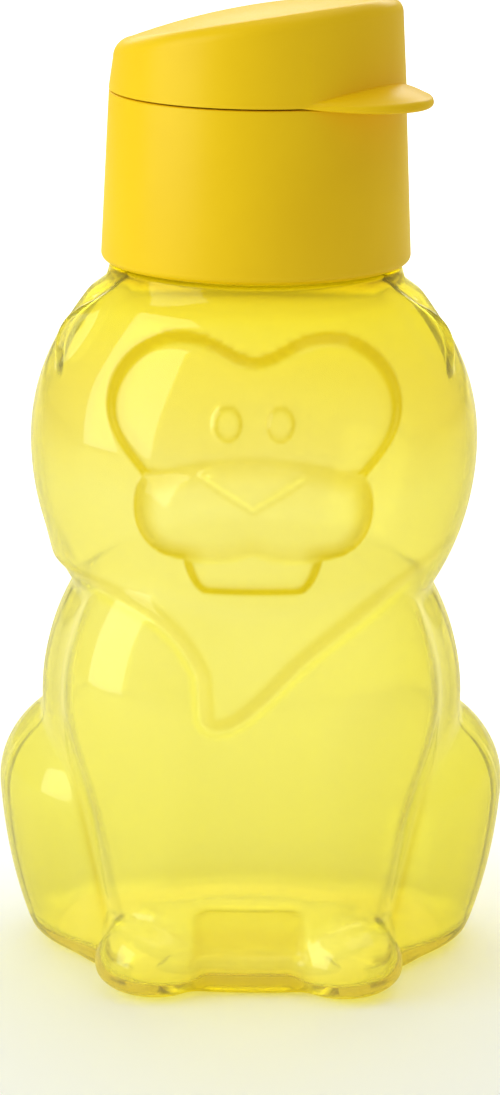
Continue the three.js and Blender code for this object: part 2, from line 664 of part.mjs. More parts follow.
// The lid's straight form leans: its top slopes up towards the thumb tab.
function lean(geometry) {
  const position = geometry.getAttribute('position');
  const fullLean = LID_MID_HEIGHT - LID_EDGE;
  for (let i = 0; i < position.count; i += 1) {
    const share = THREE.MathUtils.clamp((position.getZ(i) - seamGapZ) / fullLean, 0, 1);
    position.setZ(i, position.getZ(i) + LID_SLOPE * position.getX(i) * share);
  }
  return geometry;
}

// The lid's thumb tab: a lip that swells out of the wall and hangs a little below the seam.
function thumbTab() {
  const root = CAP_SEAM_RADIUS - LID_WALL / 2;
  const clear = CAP_SEAM_RADIUS + SEAT_GAP;
  const steps = 16;
  const sections = Array.from({ length: steps + 1 }, (_, i) => {
    const share = 2 * i / steps - 1;
    const angle = THREE.MathUtils.degToRad(TAB_HALF_ANGLE * share);
    const swell = Math.cos(share * Math.PI / 2) ** 1.6 + 0.02;
    const tip = clear + SEAT_GAP + TAB_REACH * swell;
    const low = seamGapZ - TAB_DROP * Math.sqrt(swell);
    const outline = [
      [root, seamGapZ],
      [clear, seamGapZ],
      [clear + SEAT_GAP / 2, low],
      [tip, low],
      [tip, low + TAB_THICKNESS],
      [root, seamGapZ + TAB_THICKNESS + (TAB_ROOT_HEIGHT - TAB_THICKNESS) * swell],
    ];
    return outline.map(([radius, z]) => new THREE.Vector3(radius * Math.cos(angle), radius * Math.sin(angle), z));
  });
  return loft(sections);
}

function flipLid() {
  const topRadius = CAP_SEAM_RADIUS - LID_TAPER;
  const topZ = seamGapZ + LID_MID_HEIGHT;
  const crownZ = topZ + LID_CROWN;
  const edge = arcPoints(topRadius - LID_EDGE, topZ - LID_EDGE, LID_EDGE, 0, 90, 5);
  const innerEdge = edge.map(([radius, z]) => [radius - LID_WALL, z - LID_WALL]).reverse();
  const crownShare = 0.55;
  const crownRadius = (topRadius - LID_EDGE) * crownShare;
  const crownRing = topZ + LID_CROWN * (1 - crownShare ** 2);
  const shell = solid(lean(revolve([
    [0, crownZ - LID_WALL],
    [crownRadius - LID_WALL, crownRing - LID_WALL],
    ...innerEdge,
    [CAP_SEAM_RADIUS - LID_WALL, seamGapZ],
    [CAP_SEAM_RADIUS, seamGapZ],
    ...edge,
    [crownRadius, crownRing],
    [0, crownZ],
  ], ROUND_SEGMENTS)));
  const roofZ = crownZ - LID_WALL / 2;
  const boss = bar(BOSS_RADIUS, BOSS_RADIUS, sealTopZ + SEAT_GAP, roofZ, SMALL_SEGMENTS);
  const stemRadius = SEAL_STEM_RADIUS + SEAT_GAP;
  const stemTop = sealTopZ + SEAL_STEM_HEIGHT + SEAT_GAP;
  const socket = bar(stemRadius, stemRadius, sealZ, stemTop, SMALL_SEGMENTS);
  const pinBore = crossBar(PIN_RADIUS + PIN_CLEARANCE, 2 * KNUCKLE_WIDTH, hingeX, hingeZ, SMALL_SEGMENTS);
  const knuckle = solid(lidKnuckle(-(CAP_SEAM_RADIUS - LID_WALL / 2))).subtract(solid(pinBore));
  const lugPocket = crossBar(pocketRadius, EAR_LUG_WIDTH + 2 * KNUCKLE_SIDE_GAP, hingeX, hingeZ, SMALL_SEGMENTS);
  return shell
    .subtract(solid(lugPocket.clone().translate(0, lugY, 0)))
    .subtract(solid(lugPocket.translate(0, -lugY, 0)))
    .add(solid(thumbTab()))
    .add(knuckle)
    .add(solid(boss.translate(SPOUT_X, 0, 0)))
    .subtract(solid(socket.translate(SPOUT_X, 0, 0)));
}

// The soft plug that closes the spout, held by its stem in the lid's boss.
function spoutSeal() {
  const plug = SPOUT_BORE - SEAL_PLUG_ROOM;
  const profile = [
    [0, sealZ - SEAL_PLUG_DEPTH],
    [plug - SEAL_PLUG_TAPER, sealZ - SEAL_PLUG_DEPTH],
    [plug, sealZ],
    [SEAL_RADIUS, sealZ],
    [SEAL_RADIUS, sealTopZ],
    [SEAL_STEM_RADIUS, sealTopZ],
    [SEAL_STEM_RADIUS, sealTopZ + SEAL_STEM_HEIGHT],
    [0, sealTopZ + SEAL_STEM_HEIGHT],
  ];
  return solid(revolve(profile, SMALL_SEGMENTS).translate(SPOUT_X, 0, 0));
}

function hingePin() {
  const length = KNUCKLE_WIDTH + 2 * (KNUCKLE_SIDE_GAP + EAR_LUG_WIDTH);
  return solid(crossBar(PIN_RADIUS, length, hingeX, hingeZ, SMALL_SEGMENTS));
}

function part(name, body, color, roughness, metalness = 0) {
  const mesh = new THREE.Mesh(geometryOf(body), new THREE.MeshStandardMaterial({ color, roughness, metalness }));
  mesh.name = name;
  return mesh;
}

const bottle = new THREE.Group();
const capGroup = new THREE.Group();
capGroup.rotation.z = THREE.MathUtils.degToRad(CAP_TURN);
capGroup.add(
  part('cap_base', capBase(), 0xebc314, 0.35),
  part('flip_lid', flipLid(), 0xebc314, 0.35),
  part('spout_seal', spoutSeal(), 0xf2efe6, 0.6),
  part('hinge_pin', hingePin(), 0xd9b012, 0.4),
);
bottle.add(
  part('bottle_body', bottleBody(), 0xf0e678, 0.12),
  part('neck_gasket', neckGasket(), 0xf2efe6, 0.6),
  capGroup,
);

export default bottle;
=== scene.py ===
import math

import bmesh
import bpy
import numpy as np
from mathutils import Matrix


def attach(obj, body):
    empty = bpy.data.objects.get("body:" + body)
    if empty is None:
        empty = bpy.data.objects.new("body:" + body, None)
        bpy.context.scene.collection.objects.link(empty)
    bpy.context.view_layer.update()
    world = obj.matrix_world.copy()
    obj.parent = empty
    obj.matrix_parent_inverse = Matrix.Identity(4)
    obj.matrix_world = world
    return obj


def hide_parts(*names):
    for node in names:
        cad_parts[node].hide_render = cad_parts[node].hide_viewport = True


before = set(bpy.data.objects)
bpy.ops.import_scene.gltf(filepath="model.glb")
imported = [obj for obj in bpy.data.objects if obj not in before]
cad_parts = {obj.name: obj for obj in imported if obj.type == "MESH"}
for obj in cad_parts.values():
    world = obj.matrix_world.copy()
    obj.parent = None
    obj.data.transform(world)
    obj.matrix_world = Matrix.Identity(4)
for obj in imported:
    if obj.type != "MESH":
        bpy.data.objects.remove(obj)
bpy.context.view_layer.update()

MM = 0.001
TINY = 1e-9

# Sizes of the bottle's plain skin in millimetres
SEAT_GAP = 0.3
WALL = 1.5
HEAD_Z = 91
HEAD_HALF = (37.9, 33)
HEAD_RISE, HEAD_DROP = 37, 42.5
TORSO_Z = 46
TORSO_HALF = (36.1, 34.08)
TORSO_SETBACK = 3
TORSO_RISE, TORSO_DROP = 37.5, 120
HAUNCH = (20, 8, 27.4)
HAUNCH_HALF = (23.83, 26.5)
HAUNCH_RISE, HAUNCH_DROP = 18.8, 47
HAUNCH_SPLAY = 0.07
CHEST_Y, CHEST_HALF = -8, (33, 23.1)
CHEST_TAPER, CHEST_TAPER_SOFTNESS, CHEST_SQUARENESS = 0.235, 8, 3
PAW = (16.8, -25, 5.5)
PAW_HALF = (9.2, 9.6, 7.6)
EAR = (24.6, -10.5, 107.8)
EAR_HALF = (8.8, 3.4, 8.8)
SHOULDER_RADIUS, SHOULDER_Z, SHOULDER_RISE, SHOULDER_TOP_Z = 30, 104, 28, 118.4
BASE_EDGE_RADIUS = 4
BASE_PUSH_UP = 1.2
BASE_RIM_SHARE, BASE_PANEL_SHARE = 0.78, 0.68
WAIST_BLEND, CREASE_BLEND, PAW_BLEND, EAR_BLEND, SHOULDER_BLEND = 1, 1.4, 2, 1.1, 3

# Relief of the face, chest and base
HEART_HEIGHT, HEART_WALL = 1.6, 2.8
HEART_HALF_WIDTH, HEART_LOBE_X, HEART_TOP_Z, HEART_DIP_Z = 24.6, 11.5, 114.5, 111
HEART_SIDE_Z, HEART_ROUND, HEART_FOOT_X, HEART_FOOT_Z = 101.5, 6.5, 18.3, 90
EYE_X, EYE_Z, EYE_HALF_WIDTH, EYE_HALF_HEIGHT = 4.3, 100.2, 2.6, 3.3
EYE_HEIGHT, EYE_WALL, EYE_DISH, EYE_DISH_STEEPNESS = 1.0, 1.1, 0.4, 1.6
MUZZLE_HALF_WIDTH, MUZZLE_Z, MUZZLE_TOP_Z = 20, 85.2, 95
MUZZLE_CORNER_X, MUZZLE_CORNER_DROP, MUZZLE_ROUND = 16.4, 3.2, 4
MUZZLE_LOBE_X, MUZZLE_BOTTOM_Z, MUZZLE_DIP = 11.4, 76.3, 1.5
MUZZLE_EDGE_HEIGHT, MUZZLE_WALL, MUZZLE_CROWN, MUZZLE_ROUNDING = 0.7, 2.6, 2.8, 10
MUZZLE_CROWN_POWER, FACE_BLEND = 1.6, 0.8
NOSE_HALF_WIDTH, NOSE_TOP_Z, NOSE_DEPTH, NOSE_ARCH = 9.3, 92.2, 5.6, 1.8
NOSE_HEIGHT, NOSE_WALL = 0.9, 0.8
CHIN_HALF_WIDTH, CHIN_FOOT_X, CHIN_LEAN, CHIN_BOTTOM_Z = 11.7, 7, 1.4, 70.2
CHIN_HEIGHT, CHIN_WALL = 1.6, 2.6
TUFT_SIDE_Z, TUFT_SIDE_STEP, TUFT_FADE = 69, 8, 12
TUFT_KNEE = (-9.2, 56.6)
TUFT_TIP = (-5.3, 47.3)
TUFT_SWEEP = (8, 57.7)
TUFT_KNEE_ROUND, TUFT_TIP_ROUND, TUFT_SWEEP_ROUND = 8, 3.4, 5
TUFT_HEIGHT, TUFT_WALL = 1.5, 2.2
ARCH_HALF_WIDTH, ARCH_TOP_Z, ARCH_BOTTOM_Z, ARCH_CORNER = 10.2, 16.3, 6.5, 3.5
ARCH_DEPTH, ARCH_WALL = 1.6, 1.3
CREASE_DEPTH, CREASE_WIDTH, CREASE_TOP_Z, CREASE_FADE = 0.9, 1.6, 42, 16

# The cavity repeats the outer form with wider, softer steps and a thicker wall at the sides
INNER_WIDENING, INNER_SOFTENING, SIDE_THICKENING = 1.8, 1, 0.15

# Painted shade on the relief's wall faces and painted highlights on its rounded edges: widths in millimetres,
# then shares from 0 to 1
WALL_EDGE, MUZZLE_SHADE, BEAD_FADE, SHOULDER_FADE = 0.4, 5, 1.2, 5
RIM_WIDTH, NOSE_RIM_DROP = 0.7, 1
MUZZLE_SHADE_EASE, NOSE_SHADE_SHARE, EYE_SHADE_SHARE, TUFT_SHADE_SHARE = 0.65, 0.3, 0.6, 0.3
ARCH_SHADE_SHARE, FOOT_SHADE_SHARE, GROOVE_SHADE_SHARE, SHOULDER_SHADE_SHARE = 0.3, 0.5, 0.45, 0.35
RIM_HIGHLIGHT_SHARE = 0.7

# The body's colour by height in millimetres, from the base to the neck: deeper yellow at the base, palest at
# the muzzle and chin, golden at the neck
HAZE_SPREAD = 0.06
BODY_TINTS = (
    (5, (0.86, 0.84, 0.54)),
    (30, (0.95, 0.94, 0.70)),
    (75, (0.965, 0.95, 0.97)),
    (86, (0.955, 0.94, 0.99)),
    (97, (0.925, 0.865, 0.66)),
    (116, (0.95, 0.90, 0.30)),
)

# Looks: linear colours, shares, roughness, and absorption per metre
# Painted shade and painted highlight: the first tint turns the relief's wall faces golden, the second pales
# its rounded edges
WALL_SHADE_TINT, RIM_HIGHLIGHT_TINT, SHADOW_TINT = (0.78, 0.66, 0.06, 1), (1, 1, 0.98, 1), (0.96, 0.92, 0.58, 1)
DEPTH_TINT, DEPTH_DENSITY = (0.96, 0.945, 0.05, 1), 600
BODY_CLEARNESS, RIM_CLEARNESS, BODY_IOR = 0.86, 0.94, 1.13
BODY_ROUGHNESS, COAT_ROUGHNESS, COAT_IOR = (0.14, 0.20), 0.05, 1.46
BODY_COAT, WALL_COAT = 1, 0.4
YELLOW, YELLOW_ROUGHNESS = ((0.93, 0.585, 0.002), (0.96, 0.615, 0.003)), (0.32, 0.38)
SILICONE, SILICONE_ROUGHNESS = ((0.82, 0.81, 0.76), (0.87, 0.86, 0.82)), (0.45, 0.6)
MOULDED_IOR, MOULDED_SPECULAR = 1.49, 0.24
HAZE_SCALE, CLOUD_SCALE, GRAIN_SCALE, GRAIN_DETAIL = 60, 45, 2600, 2
GRAIN_STRENGTH, GRAIN_DISTANCE = 0.12, 0.00006
RAMP_START, RAMP_END = 0.35, 0.65

# Neck and its screw thread
NECK_RADIUS, NECK_WALL, NECK_TOP_Z, NECK_LIP, BORE_TOP_DROP = 22.4, 2, 140, 0.6, 2
BEAD_RADIUS, BEAD_TOP_Z, COLLAR_DROP = 24.8, 121.2, 2
THREAD_PITCH, THREAD_HEIGHT, THREAD_TURNS, THREAD_LOW_Z = 4, 0.9, 1.75, 128
THREAD_CREST, THREAD_FLANK, THREAD_END_STEEPNESS = 1.4, 3.2, 14

# Cap, lid and their small pieces
CAP_TURN = math.radians(-35)
THREAD_ROOM = 1.2
CAP_FOOT_GAP, CAP_FOOT_RADIUS, CAP_FOOT_EDGE = 0.6, 26.2, 1.2
CAP_SEAM_RADIUS, CAP_SEAM_Z, CAP_RIM_WALL, DECK_THICKNESS = 25, 150.5, 1.7, 2
CAP_EDGE, SOFT_EDGE, CUT_MARGIN = 0.35, 0.3, 1
GASKET_THICKNESS = 1.6
SPOUT_X, SPOUT_BORE, SPOUT_TIP_RADIUS, SPOUT_FOOT_RADIUS, SPOUT_TOP_Z = 7, 5.2, 7, 8.6, 157
SPOUT_FOOT_EASE, SPOUT_NECK_EASE = 1, 0.6
LID_WALL, LID_MID_HEIGHT, LID_SLOPE, LID_CROWN = 1.7, 11.97, 0.197, 2.2
LID_TAPER, LID_EDGE = 0.7, 3
TAB_HALF_ANGLE = math.radians(38)
TAB_REACH, TAB_THICKNESS, TAB_END_THICKNESS, TAB_ROOT_RISE, TAB_DROP = 7.6, 1.5, 0.2, 0.1, 1
TAB_DOME_REACH, TAB_DOME_RISE, TAB_SWELL_POWER = 0.5, 0.75, 1.6
SEAL_RADIUS, SEAL_THICKNESS = 6.6, 1.6
SEAL_PLUG_DEPTH, SEAL_PLUG_ROOM, SEAL_PLUG_TAPER = 2.4, 0.7, 0.4
SEAL_STEM_RADIUS, SEAL_STEM_HEIGHT, BOSS_RADIUS = 2.4, 1.8, 5.4
PIN_RADIUS, PIN_CLEARANCE, PIN_BORE_MARGIN = 0.8, 0.25, 0.4
HINGE_OFFSET, KNUCKLE_RADIUS, POCKET_ROOM = 0.9, 1.8, 0.35
KNUCKLE_WIDTH, LUG_WIDTH, KNUCKLE_SIDE_GAP, LUG_DROP, LUG_BITE = 3.4, 2, 0.3, 6, 0.9
BAR_EDGE_SHARE = 0.12

# Fineness of the meshes
SKIN_SEGMENTS, SKIN_STEP, FRONT_CROWDING, BISECTIONS = 420, 0.45, 0.5, 24
CAVITY_STEP, BORE_RINGS, THROAT_RINGS = 0.9, 12, 8
PANEL_RINGS, FLOOR_RINGS = (0.2, 0.5), (0.6, 0.3, 0.1)
BASE_STEP_RINGS, BASE_EDGE_RINGS = 9, 12
ROUND_SEGMENTS, SPOUT_SEGMENTS, SEAL_SEGMENTS, BAR_SEGMENTS = 192, 96, 72, 48
CURVE_STEPS, ARCH_STEPS, LIP_STEPS, EDGE_STEPS, FOOT_STEPS = 16, 10, 5, 4, 8
SPOUT_LIP_STEPS, LID_STEPS, TAB_STEPS, LUG_STEPS, KNUCKLE_STEPS = 6, 12, 10, 24, 36
MERGE_DISTANCE = 1e-7
SHARP_DEGREES, BODY_SHARP_DEGREES = 35, 60

# Stage, lights and camera: metres, watts and degrees, the lens and sensor in millimetres
WHITE = (1, 1, 1, 1)
FLOOR_SIZE, FLOOR_PLACE = 8, (0, -0.1, 0)
FLOOR_TONE, FLOOR_MIRRORED_TONE = (0.90, 0.90, 0.90, 1), (0.90, 0.83, 0.38, 1)
FLOOR_ROUGHNESS, FLOOR_SPECULAR = 0.9, 0.1
GLOW_START, GLOW_END, NEAR_GLOW, FAR_GLOW, GLOW_THROUGH = 0.08, 0.32, 0.06, 0.7, 0.34
WORLD_STRENGTH, CARD_TONE, CARD_STRENGTH = 0.47, (1, 0.88, 0.28, 1), 0.8
KEY_TONE = (0.88, 1, 0.86)
CAMERA_PLACE, CAMERA_LENS, SENSOR_WIDTH = (-0.0005, -0.790, 0.264), 155.7, 36
CAMERA_LOOK_DOWN, CAMERA_TURN = 13.7, 0.58

seam_gap_z = CAP_SEAM_Z + SEAT_GAP
cap_foot_z = BEAD_TOP_Z + CAP_FOOT_GAP
gasket_z = NECK_TOP_Z + SEAT_GAP
deck_z = gasket_z + GASKET_THICKNESS + SEAT_GAP
deck_top_z = deck_z + DECK_THICKNESS
hinge_x = -(CAP_SEAM_RADIUS + HINGE_OFFSET)
hinge_z = CAP_SEAM_Z + SEAT_GAP / 2
lug_y = KNUCKLE_WIDTH / 2 + KNUCKLE_SIDE_GAP + LUG_WIDTH / 2
pocket_radius = KNUCKLE_RADIUS + POCKET_ROOM
pin_bore_radius = PIN_RADIUS + PIN_CLEARANCE
seal_z = SPOUT_TOP_Z + SEAT_GAP
seal_top_z = seal_z + SEAL_THICKNESS


# Mesh helpers

def shade(mesh, sharp_degrees):
    """Smooth shading, but for edges where the faces meet at a sharp angle."""
    form = bmesh.new()
    form.from_mesh(mesh)
    bmesh.ops.remove_doubles(form, verts=form.verts, dist=MERGE_DISTANCE)
    bmesh.ops.dissolve_degenerate(form, edges=form.edges, dist=MERGE_DISTANCE)
    bmesh.ops.recalc_face_normals(form, faces=form.faces)
    for face in form.faces:
        face.smooth = True
    for edge in form.edges:
        edge.smooth = edge.calc_face_angle(0) < math.radians(sharp_degrees)
    form.to_mesh(mesh)
    form.free()


def add_piece(name, shape, sharp_degrees=SHARP_DEGREES):
    """A mesh object from (vertices in millimetres, faces)."""
    vertices, faces = shape
    mesh = bpy.data.meshes.new(name)
    mesh.from_pydata((np.asarray(vertices) * MM).tolist(), [], faces)
    shade(mesh, sharp_degrees)
    piece = bpy.data.objects.new(name, mesh)
    bpy.context.collection.objects.link(piece)
    return piece


def combine(piece, shape, operation):
    """Joins a second closed shape to the piece, or cuts it out of the piece."""
    tool = add_piece("tool", shape)
    change = piece.modifiers.new("combine", "BOOLEAN")
    change.operation = operation
    change.solver = "EXACT"
    change.object = tool
    bpy.context.view_layer.update()
    done = piece.evaluated_get(bpy.context.evaluated_depsgraph_get())
    mesh = bpy.data.meshes.new_from_object(done)
    piece.modifiers.clear()
    piece.data = mesh
    bpy.data.objects.remove(tool)
    shade(mesh, SHARP_DEGREES)


def turn_with_cap(piece):
    """Turns a piece drawn with the thumb tab along +X to the cap's real direction."""
    c, s = math.cos(CAP_TURN), math.sin(CAP_TURN)
    for vertex in piece.data.vertices:
        x, y, z = vertex.co
        vertex.co = (c * x - s * y, s * x + c * y, z)
    piece.data.update()


def loft(rings):
    """Vertices and faces of a closed skin over rings of equal count, its ends filled to a middle point."""
    count = len(rings[0])
    vertices = np.vstack([*rings, rings[0].mean(axis=0), rings[-1].mean(axis=0)])
    low_middle, high_middle = len(vertices) - 2, len(vertices) - 1
    last = count * (len(rings) - 1)
    faces = []
    for k in range(count):
        after = (k + 1) % count
        faces.append((low_middle, after, k))
        faces.append((high_middle, last + k, last + after))
        for row in range(0, last, count):
            faces.append((row + k, row + after, row + count + after, row + count + k))
    return vertices, faces


def sweep(profiles):
    """Vertices and faces of a body whose (radius, z) profile from axis to axis changes with the angle."""
    angles = np.linspace(0, 2 * math.pi, len(profiles), endpoint=False)
    profiles = np.asarray(profiles, dtype=float)
    x = profiles[:, :, 0] * np.cos(angles)[:, None]
    y = profiles[:, :, 0] * np.sin(angles)[:, None]
    vertices = np.stack([x, y, profiles[:, :, 1]], axis=-1).reshape(-1, 3)
    count = profiles.shape[1]
    faces = []
    for k in range(len(profiles)):
        after = (k + 1) % len(profiles)
        for i in range(count - 1):
            faces.append((k * count + i, after * count + i, after * count + i + 1, k * count + i + 1))
    return vertices, faces


def revolve(profile, segments=ROUND_SEGMENTS):
    return sweep([np.asarray(profile, dtype=float)] * segments)


def revolve_at_spout(profile, segments):
    vertices, faces = revolve(profile, segments)
    return vertices + (SPOUT_X, 0, 0), faces


def hinge_bar(radius, length, y=0):
    """A round bar along the lid's hinge with its ends slightly broken."""
    edge = radius * BAR_EDGE_SHARE
    half = length / 2
    vertices, faces = revolve([
        (0, -half),
        (radius - edge, -half),
        (radius, -half + edge),
        (radius, half - edge),
        (radius - edge, half),
        (0, half),
    ], BAR_SEGMENTS)
    turned = np.stack([vertices[:, 0], vertices[:, 2], -vertices[:, 1]], axis=1)
    return turned + (hinge_x, y, hinge_z), faces


def extrude(outline, low_y, high_y):
    """A body from a closed (x, z) outline, between two values of y."""
    outline = np.asarray(outline, dtype=float)
    count = len(outline)
    near = np.insert(outline, 1, low_y, axis=1)
    far = np.insert(outline, 1, high_y, axis=1)
    faces = [tuple(range(count)), tuple(range(2 * count - 1, count - 1, -1))]
    faces += [(k, count + k, count + (k + 1) % count, (k + 1) % count) for k in range(count)]
    return np.vstack([near, far]), faces


def arc(cx, cz, radius, start, end, steps):
    angles = np.radians(np.linspace(start, end, steps + 1))
    return np.stack([cx + radius * np.cos(angles), cz + radius * np.sin(angles)], axis=1)


def bezier(points, steps=CURVE_STEPS):
    """Points on a Bezier curve of any order, without the last one."""
    t = np.linspace(0, 1, steps, endpoint=False)[:, None]
    layer = [np.asarray(point, dtype=float) for point in points]
    while len(layer) > 1:
        layer = [a * (1 - t) + b * t for a, b in zip(layer, layer[1:])]
    return layer[0]


def mirrored(half):
    """A closed outline from its right half, which runs from the middle line to the middle line."""
    half = np.vstack(half)
    return np.vstack([half, half[::-1] * (-1, 1)])


def smooth(share):
    share = np.clip(share, 0, 1)
    return share * share * (3 - 2 * share)


def wall_step(share):
    """A step whose wall is nearly straight, with small roundings."""
    return (smooth(share) + np.clip(share, 0, 1)) / 2


def depth_inside(outline, x, z):
    """Distance from each point to the outline, positive inside it."""
    nearest = np.full(x.shape, np.inf)
    inside = np.zeros(x.shape, dtype=bool)
    for (ax, az), (bx, bz) in zip(outline, np.roll(outline, -1, axis=0)):
        dx, dz = bx - ax, bz - az
        length = dx * dx + dz * dz
        if length < TINY:
            continue
        t = np.clip(((x - ax) * dx + (z - az) * dz) / length, 0, 1)
        nearest = np.minimum(nearest, np.hypot(x - ax - t * dx, z - az - t * dz))
        crosses = (az > z) != (bz > z)
        inside ^= crosses & (x < ax + (z - az) * dx / (dz if dz else 1))
    return np.where(inside, nearest, -nearest)


# The body's form: ellipsoids joined by smooth blends, negative inside

def ellipsoid(x, y, z, half_x, half_y, half_z):
    scaled = np.sqrt((x / half_x) ** 2 + (y / half_y) ** 2 + (z / half_z) ** 2)
    slope = np.sqrt((x / half_x ** 2) ** 2 + (y / half_y ** 2) ** 2 + (z / half_z ** 2) ** 2)
    return scaled * (scaled - 1) / np.maximum(slope, TINY)


def join(a, b, blend):
    nearness = np.maximum(blend - np.abs(a - b), 0) / blend
    return np.minimum(a, b) - nearness * nearness * blend / 4


def chest_half_width(z):
    depth = TORSO_Z - z
    return CHEST_HALF[0] - CHEST_TAPER * (depth + np.hypot(depth, CHEST_TAPER_SOFTNESS)) / 2


def chest_panel(x, y, z):
    """The chest with the forelegs: a rounded rectangle in plan, narrower below."""
    depth = TORSO_Z - z
    across = (np.abs(x) / chest_half_width(z)) ** CHEST_SQUARENESS
    back = (np.abs(y - CHEST_Y) / CHEST_HALF[1]) ** CHEST_SQUARENESS
    plan = (across + back) ** (1 / CHEST_SQUARENESS)
    scaled = np.hypot(plan, depth / np.where(depth < 0, TORSO_RISE, TORSO_DROP))
    return (scaled - 1) * CHEST_HALF[1]


def body_form(x, y, z, softening):
    side = np.abs(x)
    head = ellipsoid(x, y, z - HEAD_Z, *HEAD_HALF, np.where(z > HEAD_Z, HEAD_RISE, HEAD_DROP))
    torso_height = np.where(z > TORSO_Z, TORSO_RISE, TORSO_DROP)
    torso = ellipsoid(x, y - TORSO_SETBACK, z - TORSO_Z, *TORSO_HALF, torso_height)
    haunch_x = side - HAUNCH[0] - HAUNCH_SPLAY * (z - HAUNCH[2])
    haunch_height = np.where(z > HAUNCH[2], HAUNCH_RISE, HAUNCH_DROP)
    haunch = ellipsoid(haunch_x, y - HAUNCH[1], z - HAUNCH[2], *HAUNCH_HALF, haunch_height)
    paw = ellipsoid(side - PAW[0], y - PAW[1], z - PAW[2], *PAW_HALF)
    ear = ellipsoid(side - EAR[0], y - EAR[1], z - EAR[2], *EAR_HALF)
    shoulder = ellipsoid(x, y, z - SHOULDER_Z, SHOULDER_RADIUS, SHOULDER_RADIUS, SHOULDER_RISE)
    top = join(head, shoulder, SHOULDER_BLEND)
    trunk = join(join(top, torso, WAIST_BLEND + softening), chest_panel(x, y, z), CREASE_BLEND + softening)
    with_haunches = join(trunk, haunch, CREASE_BLEND + softening)
    with_paws = join(with_haunches, paw, PAW_BLEND)
    return join(with_paws, ear, EAR_BLEND + softening)


def skin_radius(angle, z, softening):
    """Distance from the bottle's axis to the plain skin, with the base edge rounded off."""
    inside = np.zeros(np.broadcast(angle, z).shape)
    outside = inside + 2 * HAUNCH_HALF[0] + HAUNCH[0]
    for _ in range(BISECTIONS):
        middle = (inside + outside) / 2
        within = body_form(middle * np.cos(angle), middle * np.sin(angle), z, softening) < 0
        inside = np.where(within, middle, inside)
        outside = np.where(within, outside, middle)
    low = np.maximum(BASE_EDGE_RADIUS - z, 0)
    return inside - BASE_EDGE_RADIUS + np.sqrt(BASE_EDGE_RADIUS ** 2 - low ** 2)


# Outlines of the relief in the front view

def heart_outline():
    dip, lobe = (0, HEART_DIP_Z), (HEART_LOBE_X, HEART_TOP_Z)
    wide, foot = (HEART_HALF_WIDTH, HEART_SIDE_Z), (HEART_FOOT_X, HEART_FOOT_Z)
    dip_pull, lobe_pull = (HEART_LOBE_X * 0.3, HEART_DIP_Z), (HEART_LOBE_X * 0.5, HEART_TOP_Z)
    lobe_out_pull = (HEART_LOBE_X * 1.6, HEART_TOP_Z)
    wide_pull = (HEART_HALF_WIDTH, HEART_SIDE_Z + HEART_ROUND)
    wide_low_pull = (HEART_HALF_WIDTH, HEART_SIDE_Z - HEART_ROUND * 0.8)
    foot_pull = (HEART_FOOT_X + HEART_ROUND * 0.4, HEART_FOOT_Z + HEART_ROUND * 0.5)
    return mirrored([
        bezier([dip, dip_pull, lobe_pull, lobe]),
        bezier([lobe, lobe_out_pull, wide_pull, wide]),
        bezier([wide, wide_low_pull, foot_pull, foot]),
        [foot, (0, HEART_FOOT_Z)],
    ])


def muzzle_outline():
    low, wide = MUZZLE_BOTTOM_Z, MUZZLE_HALF_WIDTH
    dip, lobe, side = (0, low + MUZZLE_DIP), (MUZZLE_LOBE_X, low), (wide, MUZZLE_Z)
    corner, top = (MUZZLE_CORNER_X, MUZZLE_TOP_Z - MUZZLE_CORNER_DROP), (0, MUZZLE_TOP_Z)
    dip_pull, lobe_pull = (MUZZLE_LOBE_X * 0.3, low), (MUZZLE_LOBE_X * 0.6, low)
    lobe_out_pull = (wide * 0.9, low)
    side_low_pull, side_pull = (wide, MUZZLE_Z - MUZZLE_ROUND), (wide, MUZZLE_Z + MUZZLE_ROUND)
    corner_pull = (corner[0] + MUZZLE_ROUND / 2, corner[1])
    top_pull = (corner[0] / 2, MUZZLE_TOP_Z)
    return mirrored([
        bezier([dip, dip_pull, lobe_pull, lobe]),
        bezier([lobe, lobe_out_pull, side_low_pull, side]),
        bezier([side, side_pull, corner_pull, corner]),
        bezier([corner, top_pull, top]),
        [top],
    ])


def nose_outline():
    corner, top = (NOSE_HALF_WIDTH, NOSE_TOP_Z), (0, NOSE_TOP_Z + NOSE_ARCH)
    arch_pull = (NOSE_HALF_WIDTH / 2, NOSE_TOP_Z + NOSE_ARCH)
    return mirrored([
        [(0, NOSE_TOP_Z - NOSE_DEPTH), corner],
        bezier([corner, arch_pull, top]),
        [top],
    ])


def chin_outline():
    corner_x = CHIN_HALF_WIDTH - CHIN_LEAN
    return mirrored([
        [(0, CHIN_BOTTOM_Z)],
        bezier([(CHIN_FOOT_X, CHIN_BOTTOM_Z), (corner_x, CHIN_BOTTOM_Z), (CHIN_HALF_WIDTH, MUZZLE_BOTTOM_Z)]),
        [(CHIN_HALF_WIDTH, MUZZLE_BOTTOM_Z), (CHIN_HALF_WIDTH, MUZZLE_Z), (0, MUZZLE_Z)],
    ])


